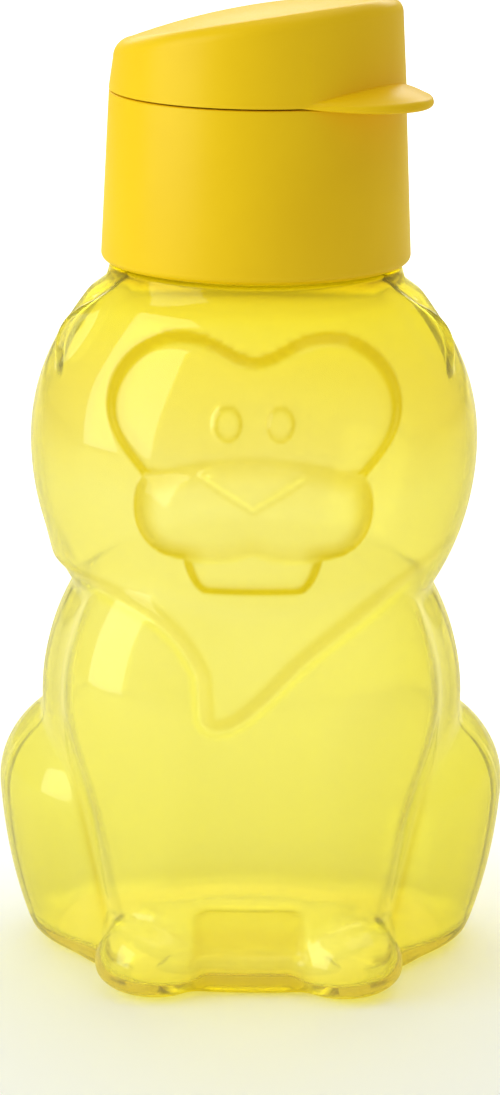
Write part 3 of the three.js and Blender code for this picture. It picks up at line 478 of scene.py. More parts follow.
def tuft_outline():
    """The mane's end on the chest, one tuft swept to the lion's right."""
    wide, far_z = HEAD_HALF[0], TUFT_SIDE_Z + TUFT_SIDE_STEP
    margin = TUFT_WALL + wide
    (knee_x, knee_z), (tip_x, tip_z), (sweep_x, sweep_z) = TUFT_KNEE, TUFT_TIP, TUFT_SWEEP
    side_x = tip_x - TUFT_TIP_ROUND
    knee_pull = (knee_x - TUFT_KNEE_ROUND / 2, knee_z + TUFT_KNEE_ROUND)
    tip_pull = (tip_x + TUFT_TIP_ROUND, tip_z)
    sweep_low_pull = (sweep_x - TUFT_SWEEP_ROUND, sweep_z - TUFT_SWEEP_ROUND)
    sweep_pull = (sweep_x + TUFT_SWEEP_ROUND * 1.6, sweep_z + TUFT_SWEEP_ROUND * 1.4)
    far_pull = (wide * 0.7, far_z - TUFT_SIDE_STEP * 0.8)
    return np.vstack([
        [(-margin, HEAD_Z), (-margin, TUFT_SIDE_Z)],
        bezier([(-wide, TUFT_SIDE_Z), (-wide / 2, TUFT_SIDE_Z), knee_pull, TUFT_KNEE]),
        [TUFT_KNEE],
        bezier([(side_x, tip_z + TUFT_TIP_ROUND), (side_x, tip_z), TUFT_TIP]),
        bezier([TUFT_TIP, tip_pull, sweep_low_pull, TUFT_SWEEP]),
        bezier([TUFT_SWEEP, sweep_pull, far_pull, (wide, far_z)]),
        [(wide, far_z), (margin, far_z), (margin, HEAD_Z)],
    ])


def arch_outline():
    flat_x, flat_z = ARCH_HALF_WIDTH - ARCH_CORNER, ARCH_TOP_Z - ARCH_CORNER
    return mirrored([
        [(0, ARCH_BOTTOM_Z), (ARCH_HALF_WIDTH, ARCH_BOTTOM_Z)],
        arc(flat_x, flat_z, ARCH_CORNER, 0, 90, ARCH_STEPS),
        [(0, ARCH_TOP_Z)],
    ])


def crease(x, z, width):
    """The groove between a foreleg and the haunch beside it: 1 at its bottom, 0 away from it."""
    beside = (np.abs(x) - chest_half_width(z)) / width
    shown = smooth((CREASE_TOP_Z - z) / CREASE_FADE) * smooth(z / CREASE_FADE)
    return shown * np.exp(-beside ** 2)


def eye_share(x, z):
    """Distance from an eye's middle, as a share of the way to its edge."""
    return np.hypot((np.abs(x) - EYE_X) / EYE_HALF_WIDTH, (z - EYE_Z) / EYE_HALF_HEIGHT)


def near_chin(x):
    """1 over the chin's foot, 0 towards the muzzle's sides."""
    return 1 - smooth((np.abs(x) - CHIN_FOOT_X) / MUZZLE_SHADE)


def relief(x, z, widening=1):
    """How far the lion's front stands out of the plain skin, with each wall widened by the factor."""
    def rise(depth, wall):
        return wall_step((depth / wall + (widening - 1) / 2) / widening)

    def step(outline, wall):
        return rise(depth_inside(outline, x, z), wall)

    face = HEART_HEIGHT * step(heart_outline(), HEART_WALL)
    chin = CHIN_HEIGHT * step(chin_outline(), CHIN_WALL)
    muzzle_depth = depth_inside(muzzle_outline(), x, z)
    swell = np.clip(muzzle_depth / MUZZLE_ROUNDING, 0, 1)
    muzzle = MUZZLE_EDGE_HEIGHT * rise(muzzle_depth, MUZZLE_WALL)
    crown = MUZZLE_CROWN * (1 - (1 - swell) ** MUZZLE_CROWN_POWER)
    muzzle = muzzle + crown + NOSE_HEIGHT * step(nose_outline(), NOSE_WALL)
    in_eye = 1 - eye_share(x, z)
    eye = EYE_HEIGHT * rise(in_eye * EYE_HALF_WIDTH, EYE_WALL)
    face = face + eye - EYE_DISH * smooth(in_eye * EYE_DISH_STEEPNESS)
    fade_low = TUFT_SIDE_Z - TUFT_FADE / 3
    fade = 1 - smooth((z - fade_low) / TUFT_FADE)
    tuft = TUFT_HEIGHT * fade * step(tuft_outline(), TUFT_WALL)
    groove = CREASE_DEPTH * crease(x, z, CREASE_WIDTH * widening)
    hollow = ARCH_DEPTH * step(arch_outline(), ARCH_WALL) + groove
    raised = -join(-np.maximum(face, chin), -muzzle, FACE_BLEND)
    return np.maximum(raised, 0) + tuft - hollow


def wall_shade_share(x, z):
    """Painted shade: where the skin is tinted golden, along the walls of the relief and by the eyes, nose,
    tuft, arch, crease and the foot between the paws: 0 to 1.
    """
    def band(depth, width):
        return smooth(depth / WALL_EDGE) * (1 - smooth((depth - width) / (2 * WALL_EDGE)))

    muzzle_depth = depth_inside(muzzle_outline(), x, z)
    in_muzzle = smooth(muzzle_depth / WALL_EDGE)
    beside_muzzle = 1 - in_muzzle
    heart = band(depth_inside(heart_outline(), x, z), HEART_WALL - 3 * WALL_EDGE) * beside_muzzle
    chin = band(depth_inside(chin_outline(), x, z), CHIN_WALL - 3 * WALL_EDGE) * beside_muzzle
    above = smooth((z - MUZZLE_Z) / (MUZZLE_TOP_Z - MUZZLE_Z))
    muzzle = in_muzzle * (1 - smooth(muzzle_depth / MUZZLE_SHADE))
    muzzle = muzzle * (1 - MUZZLE_SHADE_EASE * np.maximum(above, near_chin(x)))
    outside_nose = -depth_inside(nose_outline(), x, z) - RIM_WIDTH / 2
    nose = NOSE_SHADE_SHARE * band(outside_nose, WALL_EDGE) * in_muzzle
    eye = EYE_SHADE_SHARE * band((1 - eye_share(x, z)) * EYE_HALF_WIDTH, EYE_WALL / 2)
    tuft_low = 1 - smooth((z - TUFT_SIDE_Z) / TUFT_FADE)
    tuft = TUFT_SHADE_SHARE * band(depth_inside(tuft_outline(), x, z), TUFT_WALL) * tuft_low
    arch = ARCH_SHADE_SHARE * smooth(depth_inside(arch_outline(), x, z) / ARCH_WALL)
    between_paws = 1 - smooth((np.abs(x) - ARCH_HALF_WIDTH) / PAW_BLEND)
    foot = FOOT_SHADE_SHARE * (1 - smooth(z / ARCH_BOTTOM_Z)) * between_paws
    groove = GROOVE_SHADE_SHARE * crease(x, z, CREASE_WIDTH / 2)
    return np.max([heart, chin, muzzle, nose, eye, tuft, arch, foot, groove], axis=0)


def rim_highlight_share(x, z):
    """Painted highlight: where a rounded edge of the relief is tinted pale, below the tuft, the nose and the
    muzzle: 0 to 1.
    """
    def ridge(outline, place, width):
        return np.exp(-((depth_inside(outline, x, z) - place) / width) ** 2)

    low = 1 - smooth((z - TUFT_SIDE_Z + TUFT_FADE / 2) / TUFT_FADE)
    tuft = ridge(tuft_outline(), -RIM_WIDTH, RIM_WIDTH) * low
    nose_low = 1 - smooth((z - NOSE_TOP_Z + NOSE_RIM_DROP) / RIM_WIDTH)
    nose = RIM_HIGHLIGHT_SHARE * ridge(nose_outline(), 0, RIM_WIDTH / 2) * nose_low
    below = 1 - smooth((z - MUZZLE_BOTTOM_Z) / MUZZLE_DIP / 2)
    muzzle = RIM_HIGHLIGHT_SHARE * ridge(muzzle_outline(), RIM_WIDTH / 2, RIM_WIDTH / 2) * below * near_chin(x)
    return np.max([tuft, nose, muzzle], axis=0)


def thread_height(angle, z):
    """The screw thread's ridge on the neck, a helix that fades in and out at its ends."""
    turn = (angle + math.pi / 2) / (2 * math.pi) % 1
    climbed = (z - THREAD_LOW_Z) / THREAD_PITCH - turn
    lap = np.round(climbed)
    run = (lap + turn) / THREAD_TURNS
    ridge = np.clip(THREAD_CREST - THREAD_FLANK * np.abs(climbed - lap), 0, 1)
    ends = np.clip(np.minimum(run, 1 - run) * THREAD_END_STEEPNESS, 0, 1)
    return THREAD_HEIGHT * smooth(ridge) * ends


def ring_points(radius, angle, z):
    radius = np.broadcast_to(radius, angle.shape)
    height = np.broadcast_to(z, angle.shape)
    return np.stack([radius * np.cos(angle), radius * np.sin(angle), height], axis=-1)


def crowded_angles(count):
    """Angles about the bottle's axis, closest together at the lion's front."""
    turn = np.linspace(-math.pi, math.pi, count, endpoint=False)
    return -math.pi / 2 + turn - FRONT_CROWDING * np.sin(turn)


def relief_radius(angle, z, widening=1, softening=0):
    angle, z = np.broadcast_arrays(angle, z)
    radius = skin_radius(angle, z, softening)
    front = np.sin(angle) < 0
    return radius + np.where(front, relief(radius * np.cos(angle), z, widening), 0)


def outer_rings(angle):
    low_radius = relief_radius(angle[None, :], np.zeros((1, 1)))[0]
    panel = [(share, BASE_PUSH_UP) for share in PANEL_RINGS]
    for share in np.linspace(BASE_PANEL_SHARE, BASE_RIM_SHARE, BASE_STEP_RINGS):
        slope = (share - BASE_PANEL_SHARE) / (BASE_RIM_SHARE - BASE_PANEL_SHARE)
        panel.append((share, BASE_PUSH_UP * (1 - smooth(slope))))
    rings = [ring_points(share * low_radius, angle, z) for share, z in panel]
    edge_turns = np.linspace(0, math.pi / 2, BASE_EDGE_RINGS, endpoint=False)
    edge = BASE_EDGE_RADIUS * (1 - np.cos(edge_turns))
    collar_z = SHOULDER_TOP_Z - COLLAR_DROP
    side = np.linspace(BASE_EDGE_RADIUS, collar_z, round((collar_z - BASE_EDGE_RADIUS) / SKIN_STEP))
    levels = np.concatenate([edge, side])
    radius = relief_radius(angle[None, :], levels[:, None])
    rings += [ring_points(radius[i], angle, z) for i, z in enumerate(levels)]
    bead = [
        (BEAD_RADIUS + NECK_LIP, SHOULDER_TOP_Z),
        *arc(BEAD_RADIUS - NECK_LIP, BEAD_TOP_Z - NECK_LIP, NECK_LIP, 0, 90, LIP_STEPS),
        (NECK_RADIUS, BEAD_TOP_Z),
    ]
    rings += [ring_points(r, angle, z) for r, z in bead]
    for z in np.arange(BEAD_TOP_Z + SKIN_STEP, NECK_TOP_Z - NECK_LIP, SKIN_STEP):
        rings.append(ring_points(NECK_RADIUS + thread_height(angle, z), angle, z))
    lip = arc(NECK_RADIUS - NECK_LIP, NECK_TOP_Z - NECK_LIP, NECK_LIP, 0, 90, LIP_STEPS)
    return rings + [ring_points(r, angle, z) for r, z in lip]


def inner_rings(angle):
    """Rings of the cavity's wall, from the neck's lip down to the floor."""
    bore = NECK_RADIUS - NECK_WALL
    throat_z, roof_z = BEAD_TOP_Z - NECK_LIP, SHOULDER_TOP_Z - 2 * WALL
    foot_z = BASE_PUSH_UP + WALL + BASE_EDGE_RADIUS
    lip = arc(bore + NECK_LIP, NECK_TOP_Z - NECK_LIP, NECK_LIP, 90, 180, LIP_STEPS)
    rings = [ring_points(r, angle, z) for r, z in lip]
    bore_levels = np.linspace(NECK_TOP_Z - BORE_TOP_DROP, throat_z, BORE_RINGS)
    rings += [ring_points(bore, angle, z) for z in bore_levels]
    levels = np.linspace(roof_z, foot_z, round((roof_z - foot_z) / CAVITY_STEP))
    thickness = WALL * (1 + SIDE_THICKENING * np.cos(angle) ** 2)
    radius = relief_radius(angle[None, :], levels[:, None], INNER_WIDENING, INNER_SOFTENING) - thickness
    for share in np.linspace(0, 1, THROAT_RINGS)[1:-1]:
        throat_radius = bore + (radius[0] - bore) * share
        rings.append(ring_points(throat_radius, angle, throat_z + (roof_z - throat_z) * share))
    rings += [ring_points(radius[i], angle, z) for i, z in enumerate(levels)]
    for turn in np.linspace(0, math.pi / 2, BASE_STEP_RINGS)[1:]:
        drop = BASE_EDGE_RADIUS * (1 - math.cos(turn))
        rings.append(ring_points(radius[-1] - drop, angle, foot_z - BASE_EDGE_RADIUS * math.sin(turn)))
    floor_radius, floor_z = radius[-1] - BASE_EDGE_RADIUS, foot_z - BASE_EDGE_RADIUS
    return rings + [ring_points(floor_radius * share, angle, floor_z) for share in FLOOR_RINGS]


# Materials

def new_material(name):
    material = bpy.data.materials.new(name)
    material.use_nodes = True
    nodes = material.node_tree.nodes
    return material, nodes, material.node_tree.links, nodes["Principled BSDF"]


def noise(nodes, links, scale, detail=3):
    """A noise texture that lies in the object's own space."""
    place = nodes.new("ShaderNodeTexCoord")
    texture = nodes.new("ShaderNodeTexNoise")
    texture.inputs["Scale"].default_value = scale
    texture.inputs["Detail"].default_value = detail
    links.new(place.outputs["Object"], texture.inputs["Vector"])
    return texture


def ramp(nodes, links, source, low, high):
    """Maps a texture's middle range between two colours or grey levels."""
    blend = nodes.new("ShaderNodeValToRGB")
    blend.color_ramp.elements[0].position = RAMP_START
    blend.color_ramp.elements[1].position = RAMP_END
    blend.color_ramp.elements[0].color = (*low, 1)
    blend.color_ramp.elements[1].color = (*high, 1)
    links.new(source, blend.inputs["Fac"])
    return blend.outputs["Color"]


def bump(nodes, links, source, strength, distance):
    node = nodes.new("ShaderNodeBump")
    node.inputs["Strength"].default_value = strength
    node.inputs["Distance"].default_value = distance
    links.new(source, node.inputs["Height"])
    return node.outputs["Normal"]


def combined(nodes, links, operation, first, second):
    """One step of arithmetic on two sockets, or on a socket and a number."""
    node = nodes.new("ShaderNodeMath")
    node.operation = operation
    links.new(first, node.inputs[0])
    if isinstance(second, (int, float)):
        node.inputs[1].default_value = second
    else:
        links.new(second, node.inputs[1])
    return node.outputs["Value"]


def attribute(nodes, name):
    node = nodes.new("ShaderNodeAttribute")
    node.attribute_name = name
    return node.outputs["Fac"]


def tinted(nodes, links, share, colour, tint):
    """A colour that a share from 0 to 1 turns into the tint."""
    mix = nodes.new("ShaderNodeMixRGB")
    mix.inputs["Color2"].default_value = tint
    links.new(share, mix.inputs["Fac"])
    links.new(colour, mix.inputs["Color1"])
    return mix.outputs["Color"]


def remapped(nodes, links, source, low, high, start=0, end=1, interpolation="LINEAR"):
    """Maps the range from start to end onto the range from low to high."""
    node = nodes.new("ShaderNodeMapRange")
    node.interpolation_type = interpolation
    for socket, value in (("From Min", start), ("From Max", end), ("To Min", low), ("To Max", high)):
        node.inputs[socket].default_value = value
    links.new(source, node.inputs["Value"])
    return node.outputs["Result"]


def choice(nodes, links, share, without, with_share):
    """One shader where the share is 0, the other where it is 1."""
    mix = nodes.new("ShaderNodeMixShader")
    links.new(share, mix.inputs["Fac"])
    links.new(without, mix.inputs[1])
    links.new(with_share, mix.inputs[2])
    return mix.outputs["Shader"]


def height_tint(nodes, links, haze):
    """The body's tint by height, slightly uneven with the haze."""
    place = nodes.new("ShaderNodeTexCoord")
    parts = nodes.new("ShaderNodeSeparateXYZ")
    links.new(place.outputs["Object"], parts.inputs["Vector"])
    height = combined(nodes, links, "DIVIDE", parts.outputs["Z"], NECK_TOP_Z * MM)
    unevenness = combined(nodes, links, "MULTIPLY", haze.outputs["Fac"], HAZE_SPREAD)
    tint = nodes.new("ShaderNodeValToRGB")
    stops = tint.color_ramp.elements
    for z, colour in BODY_TINTS:
        stop = stops.new(z / NECK_TOP_Z + HAZE_SPREAD / 2)
        stop.color = (*colour, 1)
    stops.remove(stops[0])
    stops.remove(stops[-1])
    links.new(combined(nodes, links, "ADD", height, unevenness), tint.inputs["Fac"])
    return tint.outputs["Color"]


def body_material():
    """Hazy yellow plastic: light is tinted by the length of its way through the wall."""
    material, nodes, links, shader = new_material("translucent_yellow")
    haze = noise(nodes, links, HAZE_SCALE)
    # Painted shade from the "wall" share turns the colour golden and thins the coat; painted highlights from
    # the "rim" share turn it pale and clearer
    walls, rims = attribute(nodes, "wall"), attribute(nodes, "rim")
    shaded = tinted(nodes, links, walls, height_tint(nodes, links, haze), WALL_SHADE_TINT)
    links.new(tinted(nodes, links, rims, shaded, RIM_HIGHLIGHT_TINT), shader.inputs["Base Color"])
    clearness = remapped(nodes, links, rims, BODY_CLEARNESS, RIM_CLEARNESS)
    links.new(clearness, shader.inputs["Transmission Weight"])
    low_rough, high_rough = BODY_ROUGHNESS
    haze_rough = ramp(nodes, links, haze.outputs["Fac"], (low_rough,) * 3, (high_rough,) * 3)
    links.new(haze_rough, shader.inputs["Roughness"])
    shader.inputs["IOR"].default_value = BODY_IOR
    links.new(remapped(nodes, links, walls, BODY_COAT, WALL_COAT), shader.inputs["Coat Weight"])
    shader.inputs["Coat Roughness"].default_value = COAT_ROUGHNESS
    shader.inputs["Coat IOR"].default_value = COAT_IOR
    absorb = nodes.new("ShaderNodeVolumeAbsorption")
    absorb.inputs["Color"].default_value = DEPTH_TINT
    absorb.inputs["Density"].default_value = DEPTH_DENSITY
    output = nodes["Material Output"]
    links.new(absorb.outputs["Volume"], output.inputs["Volume"])
    clear = nodes.new("ShaderNodeBsdfTransparent")
    clear.inputs["Color"].default_value = SHADOW_TINT
    in_shadow = nodes.new("ShaderNodeLightPath").outputs["Is Shadow Ray"]
    surface = choice(nodes, links, in_shadow, shader.outputs["BSDF"], clear.outputs["BSDF"])
    links.new(surface, output.inputs["Surface"])
    return material


def moulded_material(name, colours, roughness):
    """Opaque moulded plastic: slight clouding of the colour, fine satin grain."""
    material, nodes, links, shader = new_material(name)
    cloud = noise(nodes, links, CLOUD_SCALE)
    links.new(ramp(nodes, links, cloud.outputs["Fac"], *colours), shader.inputs["Base Color"])
    grain = noise(nodes, links, GRAIN_SCALE, GRAIN_DETAIL)
    low_rough, high_rough = roughness
    grain_rough = ramp(nodes, links, grain.outputs["Fac"], (low_rough,) * 3, (high_rough,) * 3)
    links.new(grain_rough, shader.inputs["Roughness"])
    relief_normal = bump(nodes, links, grain.outputs["Fac"], GRAIN_STRENGTH, GRAIN_DISTANCE)
    links.new(relief_normal, shader.inputs["Normal"])
    shader.inputs["IOR"].default_value = MOULDED_IOR
    shader.inputs["Specular IOR Level"].default_value = MOULDED_SPECULAR
    return material


# Pieces

def settle(piece, node, body, material):
    piece.data.materials.clear()
    piece.data.materials.append(material)
    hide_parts(node)
    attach(piece, body)


def make_body():
    angle = crowded_angles(SKIN_SEGMENTS)
    piece = add_piece("lion_bottle", loft(outer_rings(angle) + inner_rings(angle)), BODY_SHARP_DEGREES)
    points = np.array([vertex.co for vertex in piece.data.vertices]) / MM
    shares = np.where(points[:, 1] < 0, wall_shade_share(points[:, 0], points[:, 2]), 0)
    # Painted shade: from the shoulder's top up, the bead and the neck take the full golden tint, and the
    # shoulder below it part of it
    above_shoulder = points[:, 2] - SHOULDER_TOP_Z
    collar = smooth((above_shoulder + BEAD_FADE / 2) / BEAD_FADE)
    shoulder = SHOULDER_SHADE_SHARE * smooth((above_shoulder + SHOULDER_FADE) / SHOULDER_FADE)
    shares = np.max([shares, collar, shoulder], axis=0)
    rims = np.where(points[:, 1] < 0, rim_highlight_share(points[:, 0], points[:, 2]), 0)
    for name, values in (("wall", shares), ("rim", rims)):
        piece.data.attributes.new(name, "FLOAT", "POINT").data.foreach_set("value", values)
    settle(piece, "bottle_body", "bottle", body_material())


def make_cap(material):
    rim = CAP_SEAM_RADIUS - CAP_RIM_WALL
    bore = NECK_RADIUS + THREAD_ROOM
    piece = add_piece("screw_cap", revolve([
        (0, deck_z),
        (bore, deck_z),
        (bore, cap_foot_z + CAP_EDGE),
        (bore + CAP_EDGE, cap_foot_z),
        *arc(CAP_FOOT_RADIUS - CAP_FOOT_EDGE, cap_foot_z + CAP_FOOT_EDGE, CAP_FOOT_EDGE, -90, 0, FOOT_STEPS),
        *arc(CAP_SEAM_RADIUS - CAP_EDGE, CAP_SEAM_Z - CAP_EDGE, CAP_EDGE, 0, 90, EDGE_STEPS),
        *arc(rim + CAP_EDGE, CAP_SEAM_Z - CAP_EDGE, CAP_EDGE, 90, 180, EDGE_STEPS),
        (rim, deck_top_z + CAP_EDGE),
        (rim - CAP_EDGE, deck_top_z),
        (0, deck_top_z),
    ]))
    edge = (SPOUT_TIP_RADIUS - SPOUT_BORE) / 2
    fillet = 2 * edge
    foot = (SPOUT_FOOT_RADIUS, deck_top_z)
    foot_pull = (SPOUT_FOOT_RADIUS - SPOUT_FOOT_EASE, deck_top_z + fillet / 2)
    waist = (SPOUT_TIP_RADIUS + SPOUT_NECK_EASE, deck_top_z + 2 * fillet)
    combine(piece, revolve_at_spout([
        (0, deck_z + DECK_THICKNESS / 4),
        (SPOUT_FOOT_RADIUS, deck_z + DECK_THICKNESS / 4),
        foot,
        *bezier([foot, foot_pull, waist], FOOT_STEPS),
        *arc(SPOUT_TIP_RADIUS - edge, SPOUT_TOP_Z - edge, edge, 0, 90, FOOT_STEPS),
        (0, SPOUT_TOP_Z),
    ], SPOUT_SEGMENTS), "UNION")
    lip_low, lip_corner = (SPOUT_BORE, SPOUT_TOP_Z - edge), (SPOUT_BORE, SPOUT_TOP_Z)
    combine(piece, revolve_at_spout([
        (0, deck_z - CUT_MARGIN),
        (SPOUT_BORE, deck_z - CUT_MARGIN),
        lip_low,
        *bezier([lip_low, lip_corner, (SPOUT_BORE + edge, SPOUT_TOP_Z)], SPOUT_LIP_STEPS),
        (SPOUT_BORE + edge, SPOUT_TOP_Z + CUT_MARGIN),
        (0, SPOUT_TOP_Z + CUT_MARGIN),
    ], SPOUT_SEGMENTS), "DIFFERENCE")
    combine(piece, hinge_bar(pocket_radius, KNUCKLE_WIDTH + 2 * KNUCKLE_SIDE_GAP), "DIFFERENCE")
    wall_x = -(CAP_SEAM_RADIUS - CAP_RIM_WALL * LUG_BITE)
    lug = [(wall_x, CAP_SEAM_Z - SEAT_GAP), (wall_x, CAP_SEAM_Z - LUG_DROP)]
    lug += list(arc(hinge_x, hinge_z, KNUCKLE_RADIUS, 180, 0, LUG_STEPS))
    for y in (-lug_y, lug_y):
        combine(piece, extrude(lug, y - LUG_WIDTH / 2, y + LUG_WIDTH / 2), "UNION")
    combine(piece, hinge_bar(pin_bore_radius, 3 * KNUCKLE_WIDTH), "DIFFERENCE")
    turn_with_cap(piece)
    settle(piece, "cap_base", "cap", material)


def lid_profile(angle):
    """The lid's section at one angle from the thumb tab: inside wall, seam, tab or plain wall, crown."""
    top_radius = CAP_SEAM_RADIUS - LID_TAPER
    top_z = seam_gap_z + LID_MID_HEIGHT
    share = np.clip(abs(angle) / TAB_HALF_ANGLE, 0, 1)
    swell = math.cos(share * math.pi / 2) ** TAB_SWELL_POWER
    grown = math.sqrt(swell)
    clear = CAP_SEAM_RADIUS + SEAT_GAP * grown
    tip = clear + (SEAT_GAP + TAB_REACH) * swell
    low = seam_gap_z - TAB_DROP * grown
    thick = TAB_END_THICKNESS + (TAB_THICKNESS - TAB_END_THICKNESS) * grown
    rim = thick / 2
    rim_x = max(tip - rim, clear)
    root_z = seam_gap_z + thick + TAB_ROOT_RISE * grown
    flat_radius = top_radius - LID_EDGE
    edge = arc(flat_radius, top_z - LID_EDGE, LID_EDGE, 0, 90, LID_STEPS)
    inner_edge = (edge - LID_WALL)[::-1]
    inner = CAP_SEAM_RADIUS - LID_WALL
    crown_shares = np.linspace(1, 0, LID_STEPS)[1:]
    crown = [(flat_radius * s, top_z + LID_CROWN * (1 - s * s)) for s in crown_shares]
    roof_radius, roof_z = flat_radius - LID_WALL, top_z - LID_WALL
    roof = [(roof_radius * s, roof_z + LID_CROWN * (1 - s * s)) for s in crown_shares[::-1]]
    rim_arc = arc(0, 0, 1, -90, 90, TAB_STEPS) * (tip - rim_x, rim) + (rim_x, low + rim)
    top_z_at_rim = low + 2 * rim
    root = (CAP_SEAM_RADIUS, root_z)
    dome_x = CAP_SEAM_RADIUS + (rim_x - CAP_SEAM_RADIUS) * TAB_DOME_REACH
    dome_z = top_z_at_rim + (root_z - top_z_at_rim) * TAB_DOME_RISE
    dome = bezier([(rim_x, top_z_at_rim), (dome_x, dome_z), root], TAB_STEPS)[1:]
    return np.vstack([
        roof,
        inner_edge,
        [(inner, seam_gap_z), (CAP_SEAM_RADIUS - CAP_EDGE / 2, seam_gap_z)],
        [(clear, seam_gap_z), (clear, low)],
        rim_arc,
        dome,
        [root],
        edge,
        crown,
    ])


def make_lid(material):
    angles = np.linspace(0, 2 * math.pi, ROUND_SEGMENTS, endpoint=False)
    vertices, faces = sweep([lid_profile((angle + math.pi) % (2 * math.pi) - math.pi) for angle in angles])
    full_lean = LID_MID_HEIGHT - LID_EDGE
    lean_share = np.clip((vertices[:, 2] - seam_gap_z) / full_lean, 0, 1)
    vertices[:, 2] += LID_SLOPE * np.minimum(vertices[:, 0], CAP_SEAM_RADIUS) * lean_share
    piece = add_piece("lid", (vertices, faces))
    roof_z = seam_gap_z + LID_MID_HEIGHT + LID_CROWN - LID_WALL / 2
    boss_low = seal_top_z + SEAT_GAP
    combine(piece, revolve_at_spout([
        (0, boss_low),
        (BOSS_RADIUS - CAP_EDGE, boss_low),
        (BOSS_RADIUS, boss_low + CAP_EDGE),
        (BOSS_RADIUS, roof_z),
        (0, roof_z),
    ], SEAL_SEGMENTS), "UNION")
    stem = SEAL_STEM_RADIUS + SEAT_GAP
    stem_top = seal_top_z + SEAL_STEM_HEIGHT + SEAT_GAP
    socket = [(0, seal_z), (stem, seal_z), (stem, stem_top), (0, stem_top)]
    combine(piece, revolve_at_spout(socket, BAR_SEGMENTS), "DIFFERENCE")
    for y in (-lug_y, lug_y):
        combine(piece, hinge_bar(pocket_radius, LUG_WIDTH + 2 * KNUCKLE_SIDE_GAP, y), "DIFFERENCE")
    wall_x = -(CAP_SEAM_RADIUS - LID_WALL / 2)
    arm = [(wall_x, seam_gap_z), (wall_x, hinge_z + KNUCKLE_RADIUS)]
    arm += list(arc(hinge_x, hinge_z, KNUCKLE_RADIUS, 90, 360, KNUCKLE_STEPS))
    combine(piece, extrude(arm, -KNUCKLE_WIDTH / 2, KNUCKLE_WIDTH / 2), "UNION")
    combine(piece, hinge_bar(pin_bore_radius, KNUCKLE_WIDTH + PIN_BORE_MARGIN), "DIFFERENCE")
    turn_with_cap(piece)
    settle(piece, "flip_lid", "lid", material)


def make_small_pieces(yellow, soft):
    length = KNUCKLE_WIDTH + 2 * (KNUCKLE_SIDE_GAP + LUG_WIDTH)
    pin = add_piece("pin", hinge_bar(PIN_RADIUS, length))
    turn_with_cap(pin)
    settle(pin, "hinge_pin", "cap", yellow)
    plug = SPOUT_BORE - SEAL_PLUG_ROOM
    plug_z = seal_z - SEAL_PLUG_DEPTH
    seal = add_piece("seal", revolve_at_spout([
        (0, plug_z),
        *arc(plug - SEAL_PLUG_TAPER - SOFT_EDGE, plug_z + SOFT_EDGE, SOFT_EDGE, -90, 0, LIP_STEPS),
        (plug, seal_z),
        *arc(SEAL_RADIUS - SOFT_EDGE, seal_z + SOFT_EDGE, SOFT_EDGE, -90, 0, LIP_STEPS),
        *arc(SEAL_RADIUS - SOFT_EDGE, seal_top_z - SOFT_EDGE, SOFT_EDGE, 0, 90, LIP_STEPS),
        (SEAL_STEM_RADIUS, seal_top_z),
        (SEAL_STEM_RADIUS, seal_top_z + SEAL_STEM_HEIGHT - SOFT_EDGE),
        (SEAL_STEM_RADIUS - SOFT_EDGE, seal_top_z + SEAL_STEM_HEIGHT),
        (0, seal_top_z + SEAL_STEM_HEIGHT),
    ], SEAL_SEGMENTS))
    turn_with_cap(seal)
    settle(seal, "spout_seal", "lid", soft)
    inner, outer = NECK_RADIUS - NECK_WALL + SEAT_GAP + SOFT_EDGE, NECK_RADIUS - SOFT_EDGE
    low, high = gasket_z + SOFT_EDGE, gasket_z + GASKET_THICKNESS - SOFT_EDGE
    corners = [(outer, low, -90), (outer, high, 0), (inner, high, 90), (inner, low, 180)]
    section = np.vstack([arc(r, z, SOFT_EDGE, start, start + 90, LIP_STEPS) for r, z, start in corners])
    gasket = add_piece("gasket", revolve(np.vstack([section, section[:1]])))
    settle(gasket, "neck_gasket", "gasket", soft)


# Stage, light and camera

def make_floor():
    """White floor: seen directly it glows all round but not where the bottle's shadow falls."""
    bpy.ops.mesh.primitive_plane_add(size=FLOOR_SIZE, location=FLOOR_PLACE)
    floor = bpy.context.object
    floor.name = "floor"
    material, nodes, links, shader = new_material("white_floor")
    path = nodes.new("ShaderNodeLightPath")
    tone = nodes.new("ShaderNodeMixRGB")
    tone.inputs["Color1"].default_value = FLOOR_TONE
    tone.inputs["Color2"].default_value = FLOOR_MIRRORED_TONE
    links.new(path.outputs["Is Glossy Ray"], tone.inputs["Fac"])
    links.new(tone.outputs["Color"], shader.inputs["Base Color"])
    shader.inputs["Roughness"].default_value = FLOOR_ROUGHNESS
    shader.inputs["Specular IOR Level"].default_value = FLOOR_SPECULAR
    place = nodes.new("ShaderNodeTexCoord")
    reach = nodes.new("ShaderNodeVectorMath")
    reach.operation = "LENGTH"
    links.new(place.outputs["Object"], reach.inputs[0])
    distance = reach.outputs["Value"]
    spread = remapped(nodes, links, distance, NEAR_GLOW, FAR_GLOW, GLOW_START, GLOW_END, "SMOOTHSTEP")
    direct = combined(nodes, links, "MULTIPLY", spread, path.outputs["Is Camera Ray"])
    indirect = combined(nodes, links, "MULTIPLY", path.outputs["Is Transmission Ray"], GLOW_THROUGH)
    glow = nodes.new("ShaderNodeEmission")
    links.new(combined(nodes, links, "ADD", direct, indirect), glow.inputs["Strength"])
    both = nodes.new("ShaderNodeAddShader")
    links.new(shader.outputs["BSDF"], both.inputs[0])
    links.new(glow.outputs["Emission"], both.inputs[1])
    links.new(both.outputs["Shader"], nodes["Material Output"].inputs["Surface"])
    floor.data.materials.append(material)


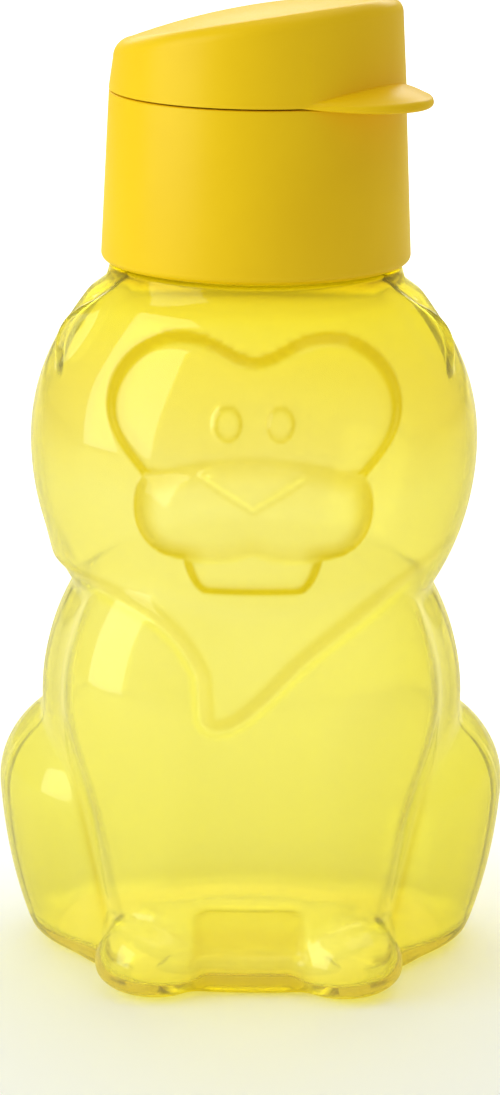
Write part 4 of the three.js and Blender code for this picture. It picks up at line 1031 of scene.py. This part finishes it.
def make_world():
    """White all round, but warm where the plastic mirrors it, as among yellow cards."""
    world = bpy.data.worlds.new("studio")
    bpy.context.scene.world = world
    world.use_nodes = True
    nodes, links = world.node_tree.nodes, world.node_tree.links

    def background(colour, strength):
        node = nodes.new("ShaderNodeBackground")
        node.inputs["Color"].default_value = colour
        node.inputs["Strength"].default_value = strength
        return node.outputs["Background"]

    rays = nodes.new("ShaderNodeLightPath").outputs
    lighting = background(WHITE, WORLD_STRENGTH)
    mirrored_cards = background(CARD_TONE, CARD_STRENGTH)
    unseen = choice(nodes, links, rays["Is Glossy Ray"], lighting, mirrored_cards)
    seen = combined(nodes, links, "MAXIMUM", rays["Is Camera Ray"], rays["Is Transmission Ray"])
    surroundings = choice(nodes, links, seen, unseen, background(WHITE, 1))
    links.new(surroundings, nodes["World Output"].inputs["Surface"])


def add_softbox(name, place, target, size, power):
    lamp = bpy.data.lights.new(name, "AREA")
    lamp.shape = "RECTANGLE"
    lamp.size, lamp.size_y = size
    lamp.energy = power
    box = bpy.data.objects.new(name, lamp)
    bpy.context.collection.objects.link(box)
    box.location = place
    toward = np.subtract(target, place)
    level = math.hypot(toward[0], toward[1])
    tilt, turn = math.atan2(level, -toward[2]), math.atan2(toward[1], toward[0])
    box.rotation_euler = (tilt, 0, turn - math.pi / 2)
    return box


def make_lights():
    chest, cap, middle = (0, 0, 0.12), (0, 0, 0.14), (0, 0, 0.1)
    key_left = add_softbox("key_left", (-0.58, -0.25, 0.31), chest, size=(0.56, 0.6), power=2.6)
    key_left.data.color = KEY_TONE
    back_light = add_softbox("back_light", (0, 1.25, 0.40), chest, size=(1.6, 0.6), power=4.6)
    back_light.visible_glossy = False
    add_softbox("high_back", (0, 1.0, 0.60), cap, size=(1.4, 0.35), power=4)
    add_softbox("top_fill", (0.25, 0.2, 1.3), middle, size=(1.2, 1.2), power=3)


def make_camera():
    data = bpy.data.cameras.new("camera")
    camera = bpy.data.objects.new("camera", data)
    bpy.context.collection.objects.link(camera)
    data.lens = CAMERA_LENS
    data.sensor_width = SENSOR_WIDTH
    camera.location = CAMERA_PLACE
    camera.rotation_mode = "ZYX"
    camera.rotation_euler = (math.radians(90 - CAMERA_LOOK_DOWN), 0, math.radians(CAMERA_TURN))
    bpy.context.scene.camera = camera


bpy.context.scene.view_settings.view_transform = "Standard"
make_camera()
make_floor()
make_world()
make_lights()
make_body()
satin_yellow = moulded_material("satin_yellow", YELLOW, YELLOW_ROUGHNESS)
silicone = moulded_material("silicone_white", SILICONE, SILICONE_ROUGHNESS)
make_cap(satin_yellow)
make_lid(satin_yellow)
make_small_pieces(satin_yellow, silicone)
